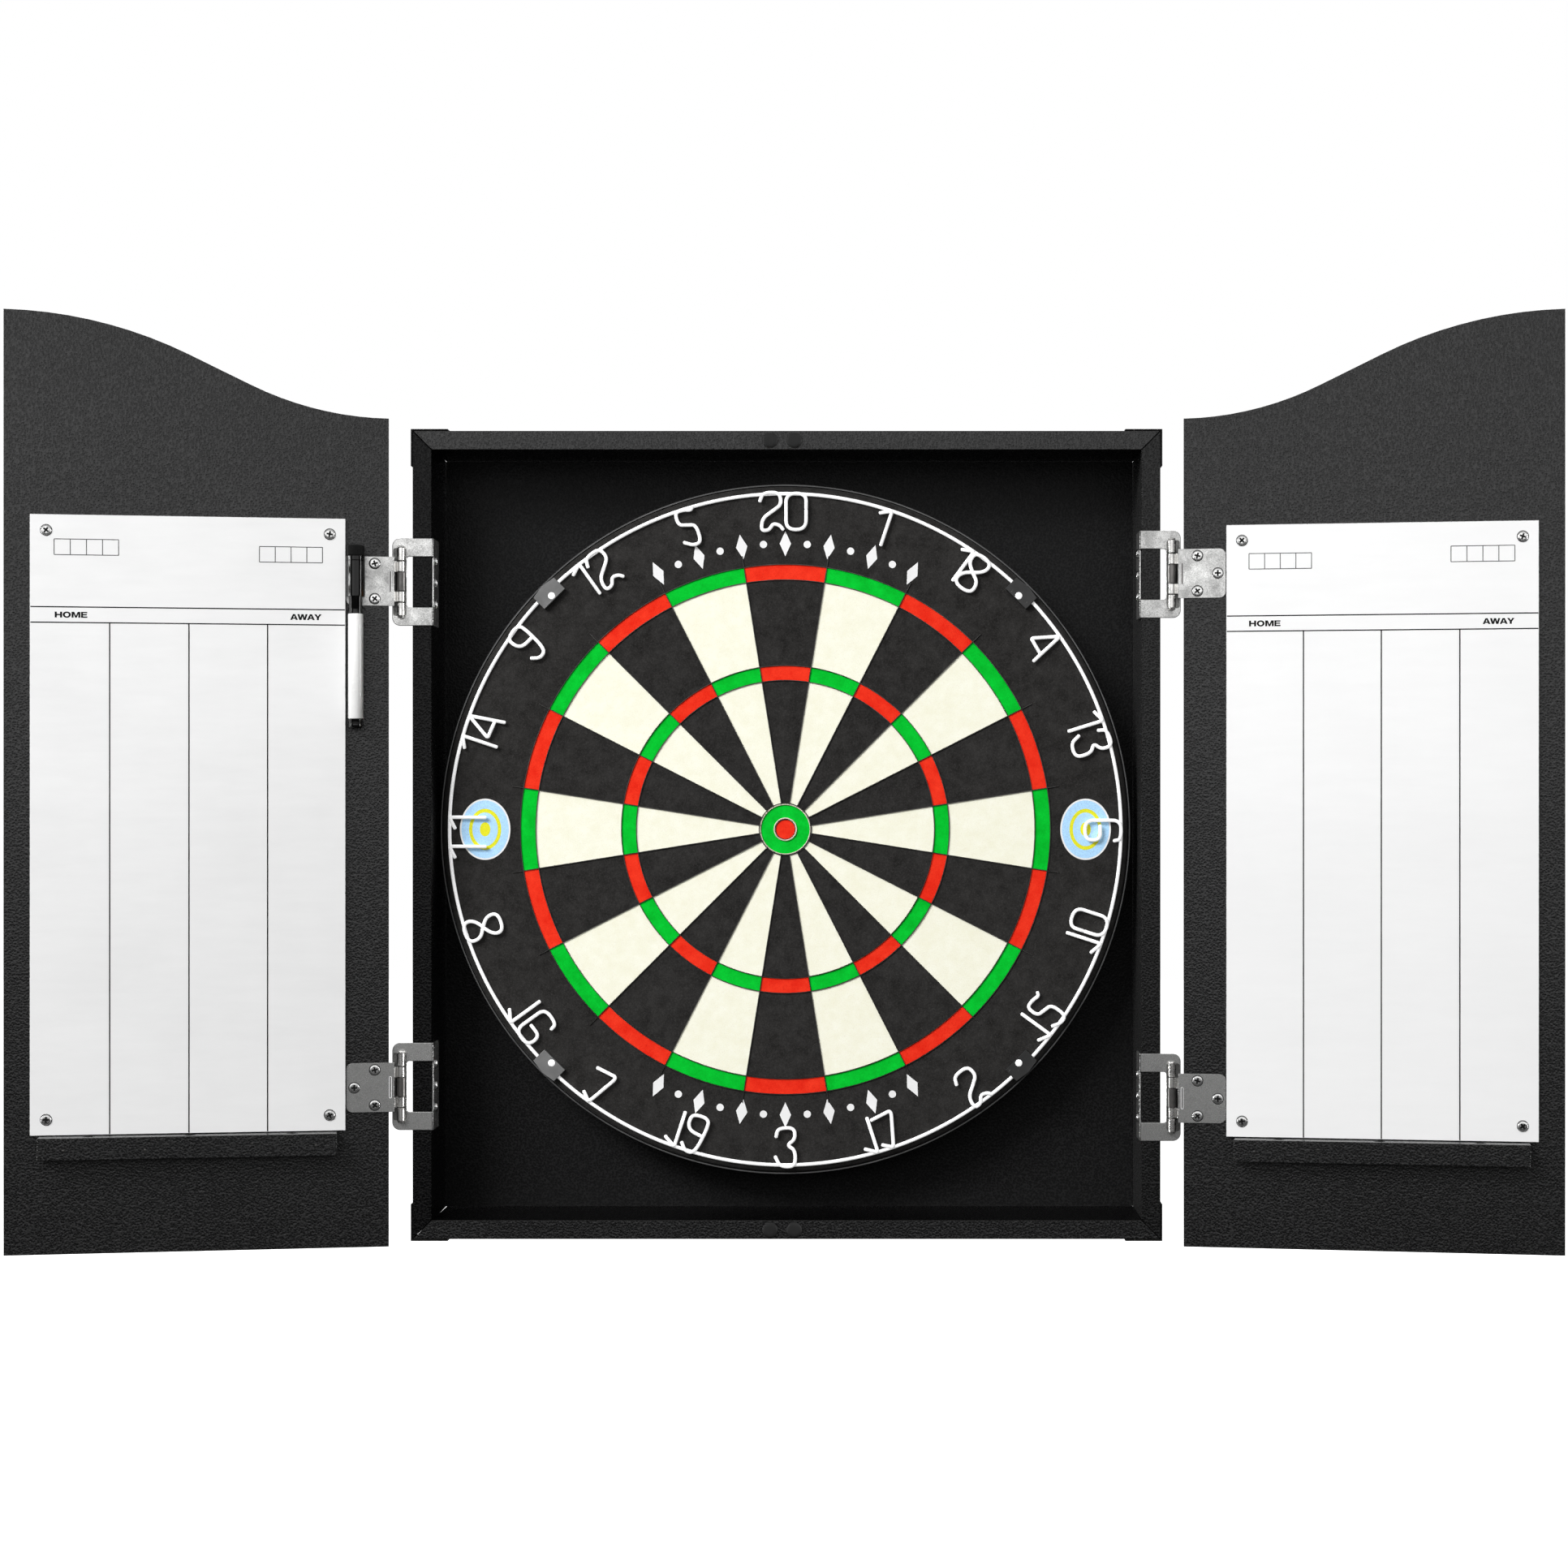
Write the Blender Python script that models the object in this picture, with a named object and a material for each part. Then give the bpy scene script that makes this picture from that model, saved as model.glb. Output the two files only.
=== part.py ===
"""Dart board cabinet: a shallow wall box with a bristle dart board and two scoreboard doors.

Units are metres, +Z is up and the front faces -Y. The origin is the centre of the rear (wall) face of
the back panel. Each door is modelled shut in the frame of its own hinge axis, whose empty then turns it
to its rest angle. Hinge parts use x outwards and y towards the viewer, both from the hinge axis.
"""

import math

import bmesh
import bpy
from mathutils import Matrix, Vector

MM = 0.001
GAP = 0.3 * MM

BOX_WIDTH = 482 * MM
BOX_HEIGHT = 521 * MM
BOX_DEPTH = 79 * MM
PANEL = 12 * MM
BACK_PANEL = 9 * MM
FRONT = -BOX_DEPTH

GUARD_LEG = 24 * MM
GUARD_THICKNESS = 1 * MM

PAD_RADIUS = 5 * MM
PAD_HEIGHT = 1.7 * MM
PAD_MIDDLE_X = -2.8 * MM
PAD_SPACING = 15.6 * MM

PIN_OUT = 7 * MM
PIN_FORWARD = 3.7 * MM
PIN_RADIUS = 1.5 * MM
PIN_HALF = 22.3 * MM
PIN_HEAD_RADIUS = 2.3 * MM
PIN_HEAD = 1 * MM
KNUCKLE_RADIUS = 2.6 * MM
BORE_RADIUS = 1.65 * MM
FRAME_KNUCKLES = ((13.6 * MM, 22 * MM), (-22 * MM, -13.6 * MM))
DOOR_KNUCKLES = ((6.8 * MM, 13.1 * MM), (-12.6 * MM, -6.3 * MM))
SPRING_HALF = 5.9 * MM
SPRING_RADII = (1.9 * MM, 3.2 * MM)
SPRING_OPEN = math.radians(70)
LEAF_THICKNESS = 1.1 * MM
FRAME_LEAF_HALF = 28.15 * MM
FRAME_WINDOW_HALF = 16.3 * MM
WEB_REACH = (3.6 * MM, 6 * MM)
WING_THICKNESS = 1.2 * MM
WING_DEPTH = 24 * MM
DOOR_LEAF_THICKNESS = 0.9 * MM
DOOR_LEAF_WIDTH = 27 * MM
DOOR_LEAF_HALF = 15.8 * MM
HINGE_HEIGHTS = {"left": {"top": 163 * MM, "bottom": -162 * MM},
                 "right": {"top": 168 * MM, "bottom": -169 * MM}}

DOOR_OPEN = math.radians(170)
DOOR_WIDTH = 239.8 * MM
DOOR_THICKNESS = 12 * MM
DOOR_EDGE_FROM_PIN = 7.7 * MM
DOOR_FACE_FROM_PIN = 1.4 * MM
DOOR_BOTTOM = -264.5 * MM
DOOR_SHOULDER = 267.7 * MM
CREST_RISE = 64 * MM
CREST_SLOPE = math.radians(25.5)
CREST_RADIUS = 265 * MM

BOARD_X = -1.5 * MM
BOARD_Z = 3.5 * MM
BOARD_RADIUS = 225.5 * MM
BAND = 1 * MM
BOARD_BACK = -15 * MM
BOARD_FACE = -53 * MM
BACKING = 10 * MM
BEVEL = 2.5 * MM

BULL_RADIUS = 16 * MM
TREBLE_RADII = (97.3 * MM, 107 * MM)
DOUBLE_RADII = (162.9 * MM, 173 * MM)
SPIDER_REACH = 187 * MM
SPIDER_WIRE = 0.9 * MM
SPIDER_HEIGHT = 1.2 * MM
SECTORS = 20

RING_RADIUS = 219 * MM
WIRE_RADIUS = 1.15 * MM
DIGIT_HEIGHT = 24 * MM
DIGIT_WIDTH = 13 * MM
DIGIT_PITCH = 15.5 * MM
NUMBERS = (20, 1, 18, 4, 13, 6, 10, 15, 2, 17, 3, 19, 7, 16, 8, 11, 14, 9, 12, 5)
UPRIGHT_FROM, UPRIGHT_TO = 6, 14

CLIP_HALF = 9.5 * MM
CLIP_RADII = (212.4 * MM, 222.6 * MM)
CLIP_PEAK = 1.5 * MM
CLIP_HEIGHT = 4.2 * MM
CLIP_GROOVE = (216.8 * MM, 221 * MM)

SCOREBOARD_EDGE = 27.5 * MM
SCOREBOARD_WIDTH = 196 * MM
SCOREBOARD_HEIGHT = 391.5 * MM
SCOREBOARD_THICKNESS = 3 * MM
SCOREBOARD_TOP = {"left": 202.5 * MM, "right": 198.5 * MM}
SCREW_INSET = 10 * MM
SCREW_HEAD = (3.4 * MM, 1.6 * MM)
SCREW_SHANK = (1.4 * MM, 9 * MM)
SCREW_HOLE = 1.8 * MM

RACK_EDGE = 33 * MM
RACK_WIDTH = 185 * MM
RACK_HEIGHT = 14 * MM
RACK_DEPTH = 17 * MM
RACK_BELOW = 0.5 * MM
DART_HOLE = 3.75 * MM
DART_HOLES_FROM_EDGE = (61 * MM, 124.5 * MM, 187 * MM)
DART_HOLE_OUT = 9 * MM

MARKER_EDGE = 21.1 * MM
MARKER_OUT = 7.5 * MM
MARKER_BOTTOM = 68.5 * MM
MARKER_PLUG = 6 * MM
MARKER_BARREL = 67 * MM
MARKER_GRIP = 11 * MM
MARKER_CAP = 26 * MM
MARKER_ERASER = 7 * MM
MARKER_BARREL_RADIUS = 4.85 * MM
MARKER_CAP_RADIUS = 6 * MM
MARKER_CAP_BORE = 4.9 * MM
MARKER_GRIP_RADIUS = 4.3 * MM

BRACKET_HEIGHT = 50 * MM
BRACKET_HALF = 30 * MM
BRACKET_RISE = 3.1 * MM
BRACKET_PLATE = 17 * MM
BRACKET_THICKNESS = 1.5 * MM
SPIGOT_RADIUS = 2.5 * MM
SPIGOT_HEAD = (6 * MM, 2 * MM)

KEYHOLE_X = 160 * MM
KEYHOLE_Z = 200 * MM
KEYHOLE_PLATE = (10 * MM, 25 * MM, 1.5 * MM)
KEYHOLE_ENTRY = 5 * MM
KEYHOLE_SLOT = (2.5 * MM, 14 * MM)
KEYHOLE_CAVITY = (7 * MM, 18 * MM, 5 * MM)

FINISHES = {
    "black_wrap": ((0.012, 0.012, 0.013), 0.55, 0.0),
    "white_gloss": ((0.80, 0.80, 0.80), 0.18, 0.0),
    "nickel": ((0.62, 0.60, 0.56), 0.24, 1.0),
    "dark_steel": ((0.20, 0.19, 0.18), 0.35, 1.0),
    "black_steel": ((0.012, 0.012, 0.012), 0.40, 0.4),
    "grey_steel": ((0.16, 0.16, 0.16), 0.45, 0.5),
    "white_wire": ((0.82, 0.82, 0.82), 0.35, 0.0),
    "spider_steel": ((0.35, 0.35, 0.34), 0.35, 1.0),
    "sisal": ((0.030, 0.029, 0.028), 0.90, 0.0),
    "chipboard": ((0.28, 0.19, 0.10), 0.85, 0.0),
    "black_rubber": ((0.010, 0.010, 0.010), 0.60, 0.0),
    "black_plastic": ((0.010, 0.010, 0.010), 0.35, 0.0),
    "white_plastic": ((0.80, 0.80, 0.79), 0.25, 0.0),
    "felt": ((0.025, 0.024, 0.023), 0.95, 0.0),
    "zinc": ((0.50, 0.50, 0.50), 0.35, 1.0),
}

SIDES = {"left": -1, "right": 1}
ENDS = ("top", "bottom")


def clear_scene():
    for item in list(bpy.data.objects):
        bpy.data.objects.remove(item, do_unlink=True)


def finish_material(name):
    """The named finish as a Principled material, made on first use."""
    found = bpy.data.materials.get(name)
    if found:
        return found
    colour, roughness, metallic = FINISHES[name]
    made = bpy.data.materials.new(name)
    made.use_nodes = True
    shader = made.node_tree.nodes["Principled BSDF"]
    shader.inputs["Base Color"].default_value = (*colour, 1)
    shader.inputs["Roughness"].default_value = roughness
    shader.inputs["Metallic"].default_value = metallic
    made.diffuse_color = (*colour, 1)
    return made


def axis_empty(name, location, parent=None):
    empty = bpy.data.objects.new(name, None)
    bpy.context.scene.collection.objects.link(empty)
    empty.location = location
    empty.parent = parent
    return empty


def piece(name, mesh, finish, location=(0, 0, 0), parent=None, rotation=(0, 0, 0)):
    """A named sub-part: the mesh, its finish and its place."""
    if finish not in mesh.materials:
        mesh.materials.append(finish_material(finish))
    obj = bpy.data.objects.new(name, mesh)
    bpy.context.scene.collection.objects.link(obj)
    obj.location = location
    obj.rotation_euler = rotation
    obj.parent = parent
    return obj


def mesh_of(work, smooth=False):
    """A mesh from a bmesh, facing out. Smooth pieces keep edges over 35 degrees sharp."""
    bmesh.ops.recalc_face_normals(work, faces=work.faces)
    mesh = bpy.data.meshes.new("shape")
    work.to_mesh(mesh)
    work.free()
    if smooth:
        mesh.shade_smooth()
        mesh.set_sharp_from_angle(angle=math.radians(35))
    return mesh


def plate(outline, back, front):
    """The (x, z) outline as a slab between y = back and y = front."""
    work = bmesh.new()
    face = work.faces.new([work.verts.new((x, back, z)) for x, z in outline])
    moved = bmesh.ops.extrude_face_region(work, geom=[face])["geom"]
    bmesh.ops.translate(work, vec=(0, front - back, 0),
                        verts=[v for v in moved if isinstance(v, bmesh.types.BMVert)])
    return mesh_of(work)


def bar(outline, low, high, smooth=False):
    """The (x, y) outline as an upright bar between z = low and z = high."""
    work = bmesh.new()
    face = work.faces.new([work.verts.new((x, y, low)) for x, y in outline])
    moved = bmesh.ops.extrude_face_region(work, geom=[face])["geom"]
    bmesh.ops.translate(work, vec=(0, 0, high - low),
                        verts=[v for v in moved if isinstance(v, bmesh.types.BMVert)])
    return mesh_of(work, smooth)


def block(low, high):
    (x0, y0, z0), (x1, y1, z1) = low, high
    return plate([(x0, z0), (x1, z0), (x1, z1), (x0, z1)], y0, y1)


def turned(profile, segments, lengthwise="Z"):
    """The closed (radius, along) profile spun round the Z axis, or round the Y axis."""
    work = bmesh.new()
    points = [work.verts.new((radius, 0, along)) for radius, along in profile]
    edges = [work.edges.new((a, b)) for a, b in zip(points, points[1:] + points[:1])
             if a.co.x > 0 or b.co.x > 0]
    bmesh.ops.spin(work, geom=points + edges, cent=(0, 0, 0), axis=(0, 0, 1),
                   angle=math.tau, steps=segments, use_merge=True)
    bmesh.ops.remove_doubles(work, verts=work.verts, dist=1e-7)
    bmesh.ops.dissolve_degenerate(work, edges=work.edges, dist=1e-7)
    if lengthwise == "Y":
        bmesh.ops.rotate(work, verts=work.verts, cent=(0, 0, 0),
                         matrix=Matrix.Rotation(math.radians(90), 3, "X"))
    return mesh_of(work, smooth=True)


def disc(radius, start, end, segments, lengthwise="Z", hole=0.0):
    return turned([(hole, start), (radius, start), (radius, end), (hole, end)], segments, lengthwise)


def shifted(mesh, by):
    mesh.transform(Matrix.Translation(Vector(by)))
    return mesh


def several(*meshes):
    """Separate shapes in one mesh, to unite or to cut in one step."""
    work = bmesh.new()
    for mesh in meshes:
        work.from_mesh(mesh)
    joined = bpy.data.meshes.new("shapes")
    work.to_mesh(joined)
    work.free()
    return joined


def carved(body, added=(), removed=(), smooth=False, solver="EXACT"):
    """The body with shapes united to it, and then shapes cut out of it."""
    helpers = [bpy.data.objects.new("helper", mesh) for mesh in (body, *added, *removed)]
    for helper in helpers:
        bpy.context.scene.collection.objects.link(helper)
    operations = ["UNION"] * len(added) + ["DIFFERENCE"] * len(removed)
    for operation, tool in zip(operations, helpers[1:]):
        step = helpers[0].modifiers.new(operation.lower(), "BOOLEAN")
        step.operation = operation
        step.solver = solver
        step.object = tool
    graph = bpy.context.evaluated_depsgraph_get()
    result = bpy.data.meshes.new_from_object(helpers[0].evaluated_get(graph))
    for helper in helpers:
        bpy.data.objects.remove(helper)
    result.materials.clear()
    if smooth:
        result.shade_smooth()
        result.set_sharp_from_angle(angle=math.radians(35))
    return result


def arc(centre, radius, start, end, steps):
    """Points from angle start to angle end, in degrees."""
    angles = [math.radians(start + (end - start) * i / steps) for i in range(steps + 1)]
    return [(centre[0] + radius * math.cos(a), centre[1] + radius * math.sin(a)) for a in angles]


def outward(points, side):
    """Hinge points, x outwards and y towards the viewer, in world directions for that side."""
    return [(side * x, -y) for x, y in points]


def mirrored(points, side):
    return [(side * x, z) for x, z in points]


# The wall box


def build_box():
    half_w, half_h = BOX_WIDTH / 2, BOX_HEIGHT / 2
    joint = GAP / 2 * math.sqrt(2)
    tall = [(half_w, -half_h + joint), (half_w, half_h - joint),
            (half_w - PANEL, half_h - PANEL - joint), (half_w - PANEL, -half_h + PANEL + joint)]
    wide = [(-half_w + joint, half_h), (half_w - joint, half_h),
            (half_w - PANEL - joint, half_h - PANEL), (-half_w + PANEL + joint, half_h - PANEL)]
    for name, side in SIDES.items():
        piece(f"side_panel_{name}", plate(mirrored(tall, side), FRONT, 0), "black_wrap")
    for name, sign in (("top", 1), ("bottom", -1)):
        outline = [(x, sign * z) for x, z in wide]
        piece(f"{name}_panel", plate(outline, FRONT, 0), "black_wrap")
    inner_w, inner_h = half_w - PANEL - GAP, half_h - PANEL - GAP
    back = block((-inner_w, -BACK_PANEL, -inner_h), (inner_w, 0, inner_h))
    pockets = [keyhole_pocket(side * KEYHOLE_X) for side in SIDES.values()]
    piece("back_panel", carved(back, removed=pockets), "black_wrap")


def keyhole_pocket(x):
    """The recess for a hanger plate and, behind it, the room for a wall screw's head."""
    half_w, half_h, thickness = KEYHOLE_PLATE
    recess = block((x - half_w - GAP, -thickness - GAP, KEYHOLE_Z - half_h - GAP),
                   (x + half_w + GAP, 1 * MM, KEYHOLE_Z + half_h + GAP))
    room_w, room_h, depth = KEYHOLE_CAVITY
    room = block((x - room_w, -thickness - depth, KEYHOLE_Z - room_h),
                 (x + room_w, 0, KEYHOLE_Z + room_h))
    return carved(recess, added=[room])


def build_keyhole_plates():
    half_w, half_h, thickness = KEYHOLE_PLATE
    slot_half, slot_length = KEYHOLE_SLOT
    entry = [(x, z) for x, z in arc((0, -8 * MM), KEYHOLE_ENTRY, 120, 420, 10)]
    slot = arc((0, -8 * MM + slot_length), slot_half, 0, 180, 6)
    keyhole = plate(entry + slot, -2 * thickness, thickness)
    body = block((-half_w, -thickness, -half_h), (half_w, 0, half_h))
    mesh = carved(body, removed=[keyhole])
    for name, side in SIDES.items():
        piece(f"keyhole_plate_{name}", mesh, "zinc", (side * KEYHOLE_X, 0, KEYHOLE_Z))


def build_corner_guards():
    outer_x = BOX_WIDTH / 2 + GAP + GUARD_THICKNESS
    outer_z = BOX_HEIGHT / 2 + GAP + GUARD_THICKNESS
    outline = [(outer_x - GUARD_LEG, outer_z), (outer_x, outer_z), (outer_x, outer_z - GUARD_LEG),
               (outer_x - GUARD_THICKNESS, outer_z - GUARD_LEG),
               (outer_x - GUARD_THICKNESS, outer_z - GUARD_THICKNESS),
               (outer_x - GUARD_LEG, outer_z - GUARD_THICKNESS)]
    for name, side in SIDES.items():
        for end, sign in (("top", 1), ("bottom", -1)):
            corner = [(side * x, sign * z) for x, z in outline]
            piece(f"corner_guard_{end}_{name}", plate(corner, FRONT, FRONT + GUARD_LEG), "black_steel")


def build_buffer_pads():
    """Rubber buttons on the front edge, one for each door at the top and at the bottom."""
    dome = [(0, 0), (PAD_RADIUS, 0), (PAD_RADIUS, PAD_HEIGHT * 0.6), (PAD_RADIUS * 0.8, PAD_HEIGHT),
            (0, PAD_HEIGHT)]
    mesh = turned(dome, 20, "Y")
    for name, side in SIDES.items():
        for end, sign in (("top", 1), ("bottom", -1)):
            place = (PAD_MIDDLE_X + side * PAD_SPACING / 2, FRONT - GAP,
                     sign * (BOX_HEIGHT - PANEL) / 2)
            piece(f"buffer_pad_{end}_{name}", mesh, "black_rubber", place)


def build_board_bracket():
    """A steel strap with a slot, open at the top, that the board's spigot drops into."""
    back, rise = -BACK_PANEL - GAP, -BACK_PANEL - GAP - BRACKET_RISE
    t = BRACKET_THICKNESS
    foot, top = BRACKET_HALF, BRACKET_PLATE
    hat = [(-foot, back), (-top + t, back), (-top + t, rise), (top - t, rise), (top - t, back),
           (foot, back), (foot, back - t), (top, back - t), (top, rise - t), (-top, rise - t),
           (-top, back - t), (-foot, back - t)]
    strap = bar(hat, -BRACKET_HEIGHT / 2, BRACKET_HEIGHT / 2)
    reach = SPIGOT_RADIUS + 2 * GAP
    slot = plate(arc((0, 0), reach, 180, 360, 10) + [(reach, BRACKET_HEIGHT), (-reach, BRACKET_HEIGHT)],
                 back - BRACKET_RISE - 3 * t, 0)
    piece("board_bracket", carved(strap, removed=[slot]), "zinc", (BOARD_X, 0, BOARD_Z))


# Hinges


def hinge_sleeve(low, high, outer=KNUCKLE_RADIUS, inner=BORE_RADIUS):
    return turned([(inner, low), (outer, low), (outer, high), (inner, high)], 16)


def frame_leaf_mesh(side):
    """The leaf that grips the box side: a wing inside it and a windowed plate across its front edge."""
    front_face = -PIN_FORWARD + GAP
    inner_face = -PIN_OUT - PANEL - GAP
    tip, corner = WEB_REACH[1], 4 * MM
    half = FRAME_LEAF_HALF
    cheek = ([(inner_face - WING_THICKNESS, -half)]
             + arc((tip - corner, -half + corner), corner, 270, 360, 3)
             + arc((tip - corner, half - corner), corner, 0, 90, 3)
             + [(inner_face - WING_THICKNESS, half)])
    edge = plate(mirrored(cheek, side), -front_face, -front_face - LEAF_THICKNESS)
    wing = bar(outward([(inner_face, front_face + LEAF_THICKNESS),
                        (inner_face - WING_THICKNESS, front_face + LEAF_THICKNESS),
                        (inner_face - WING_THICKNESS, -PIN_FORWARD - WING_DEPTH),
                        (inner_face, -PIN_FORWARD - WING_DEPTH)], side), -half, half)
    window = block((-side * 25 * MM, PIN_FORWARD + 0.7 * MM, -FRAME_WINDOW_HALF),
                   (side * WEB_REACH[0], -4 * MM, FRAME_WINDOW_HALF))
    knuckles = several(*[hinge_sleeve(low, high) for low, high in FRAME_KNUCKLES])
    leaf = carved(edge, added=[wing], removed=[window])
    return carved(leaf, added=[knuckles], smooth=True)


def door_leaf_mesh(side):
    """The leaf on the door's inner face, with two straps that curl round the pin."""
    near, far = -4.3 * MM, -DOOR_EDGE_FROM_PIN - DOOR_LEAF_WIDTH
    half, corner = DOOR_LEAF_HALF, 4 * MM
    outline = [(near, -half)]
    for low, high in reversed(DOOR_KNUCKLES):
        outline += [(near, low), (0, low), (0, high), (near, high)]
    outline += [(near, half)]
    outline += arc((far + corner, half - corner), corner, 90, 180, 3)
    outline += arc((far + corner, -half + corner), corner, 180, 270, 3)
    strap = plate(mirrored(outline, side), KNUCKLE_RADIUS - DOOR_LEAF_THICKNESS, KNUCKLE_RADIUS)
    knuckles = several(*[hinge_sleeve(low, high) for low, high in DOOR_KNUCKLES])
    return carved(strap, added=[knuckles], smooth=True)


def spring_mesh(side):
    """The curled leaf spring that snaps the door shut, round the middle of the pin."""
    inner, outer = SPRING_RADII
    start, end = math.degrees(SPRING_OPEN) / 2, 360 - math.degrees(SPRING_OPEN) / 2
    outline = arc((0, 0), outer, start, end, 12) + arc((0, 0), inner, end, start, 12)
    return bar(outward(outline, side), -SPRING_HALF, SPRING_HALF, smooth=True)


def pin_mesh():
    head_end = PIN_HALF + PIN_HEAD
    profile = [(0, -head_end), (PIN_HEAD_RADIUS, -head_end), (PIN_HEAD_RADIUS, -PIN_HALF),
               (PIN_RADIUS, -PIN_HALF), (PIN_RADIUS, PIN_HALF), (PIN_HEAD_RADIUS, PIN_HALF),
               (PIN_HEAD_RADIUS, head_end), (0, head_end)]
    return turned(profile, 16)


def build_hinges(door_axes):
    pin = pin_mesh()
    for name, side in SIDES.items():
        frame_leaf, door_leaf, spring = frame_leaf_mesh(side), door_leaf_mesh(side), spring_mesh(side)
        for end in ENDS:
            label = f"hinge_{end}_{name}"
            height = HINGE_HEIGHTS[name][end]
            at_pin = (side * (BOX_WIDTH / 2 + PIN_OUT), FRONT - PIN_FORWARD, height)
            piece(f"{label}_frame_leaf", frame_leaf, "nickel", at_pin)
            piece(f"{label}_pin", pin, "nickel", at_pin)
            piece(f"{label}_door_leaf", door_leaf, "nickel", (0, 0, height), door_axes[name])
            piece(f"{label}_spring", spring, "dark_steel", (0, 0, height), door_axes[name])


# Doors. In a door's own frame x runs from the pin to the free edge of the shut door, times the side.


def door_point(side, from_edge, out, z):
    """A point on the shut door, by its distance from the hinge edge and out of the inner face."""
    return Vector((-side * (DOOR_EDGE_FROM_PIN + from_edge), DOOR_FACE_FROM_PIN + out, z))


def crest_outline():
    """The door's outline as (distance from the hinge edge, height), its top edge an ogee."""
    reach = (DOOR_WIDTH * math.sin(CREST_SLOPE) - CREST_RISE * math.cos(CREST_SLOPE)) \
        / (1 - math.cos(CREST_SLOPE))
    hollow = reach - CREST_RADIUS
    slope = math.degrees(CREST_SLOPE)
    rising = arc((0, DOOR_SHOULDER + hollow), hollow, 270, 270 + slope, 9)
    crest = DOOR_SHOULDER + CREST_RISE
    falling = arc((DOOR_WIDTH, crest - CREST_RADIUS), CREST_RADIUS, 90 + slope, 90, 9)
    return [(0, DOOR_BOTTOM)] + rising + falling + [(DOOR_WIDTH, DOOR_BOTTOM)]


def screw_places(name):
    """The scoreboard's four screws, as (label, distance from the hinge edge, height)."""
    top = SCOREBOARD_TOP[name]
    bottom = top - SCOREBOARD_HEIGHT
    near, far = SCOREBOARD_EDGE + SCREW_INSET, SCOREBOARD_EDGE + SCOREBOARD_WIDTH - SCREW_INSET
    return [("top_inner", near, top - SCREW_INSET), ("top_outer", far, top - SCREW_INSET),
            ("bottom_inner", near, bottom + SCREW_INSET), ("bottom_outer", far, bottom + SCREW_INSET)]


def screw_mesh():
    head, rise = SCREW_HEAD
    shank, length = SCREW_SHANK
    profile = [(0, -length), (shank, -length + 1.5 * MM), (shank, 0), (head, 0), (head, rise * 0.4),
               (head * 0.6, rise), (0, rise)]
    return turned([(r, -along) for r, along in profile], 12, "Y")


def door_holes(side, name, start, end):
    return several(*[shifted(disc(SCREW_HOLE, -end, -start, 12, "Y"), door_point(side, x, 0, z))
                     for _, x, z in screw_places(name)])


def build_door(name, side, axis):
    outline = [(-side * (DOOR_EDGE_FROM_PIN + x), z) for x, z in crest_outline()]
    slab = plate(outline, DOOR_FACE_FROM_PIN - DOOR_THICKNESS, DOOR_FACE_FROM_PIN)
    slab = carved(slab, removed=[door_holes(side, name, -8 * MM, 1 * MM)])
    piece(f"door_panel_{name}", slab, "black_wrap", parent=axis)

    top = SCOREBOARD_TOP[name]
    low = door_point(side, SCOREBOARD_EDGE, GAP, top - SCOREBOARD_HEIGHT)
    high = door_point(side, SCOREBOARD_EDGE + SCOREBOARD_WIDTH, GAP + SCOREBOARD_THICKNESS, top)
    sheet = carved(block(low, high), removed=[door_holes(side, name, -1 * MM, 5 * MM)])
    piece(f"scoreboard_{name}", sheet, "white_gloss", parent=axis)
    screw = screw_mesh()
    for label, x, z in screw_places(name):
        place = door_point(side, x, 2 * GAP + SCOREBOARD_THICKNESS, z)
        piece(f"scoreboard_screw_{label}_{name}", screw, "black_steel", place, axis)

    rack_top = top - SCOREBOARD_HEIGHT - RACK_BELOW
    low = door_point(side, RACK_EDGE, GAP, rack_top - RACK_HEIGHT)
    high = door_point(side, RACK_EDGE + RACK_WIDTH, GAP + RACK_DEPTH, rack_top)
    holes = several(*[shifted(disc(DART_HOLE, -RACK_HEIGHT, RACK_HEIGHT, 16),
                              door_point(side, x, DART_HOLE_OUT, rack_top - RACK_HEIGHT / 2))
                      for x in DART_HOLES_FROM_EDGE])
    piece(f"dart_rack_{name}", carved(block(low, high), removed=[holes], smooth=True), "black_wrap",
          parent=axis)


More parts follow.
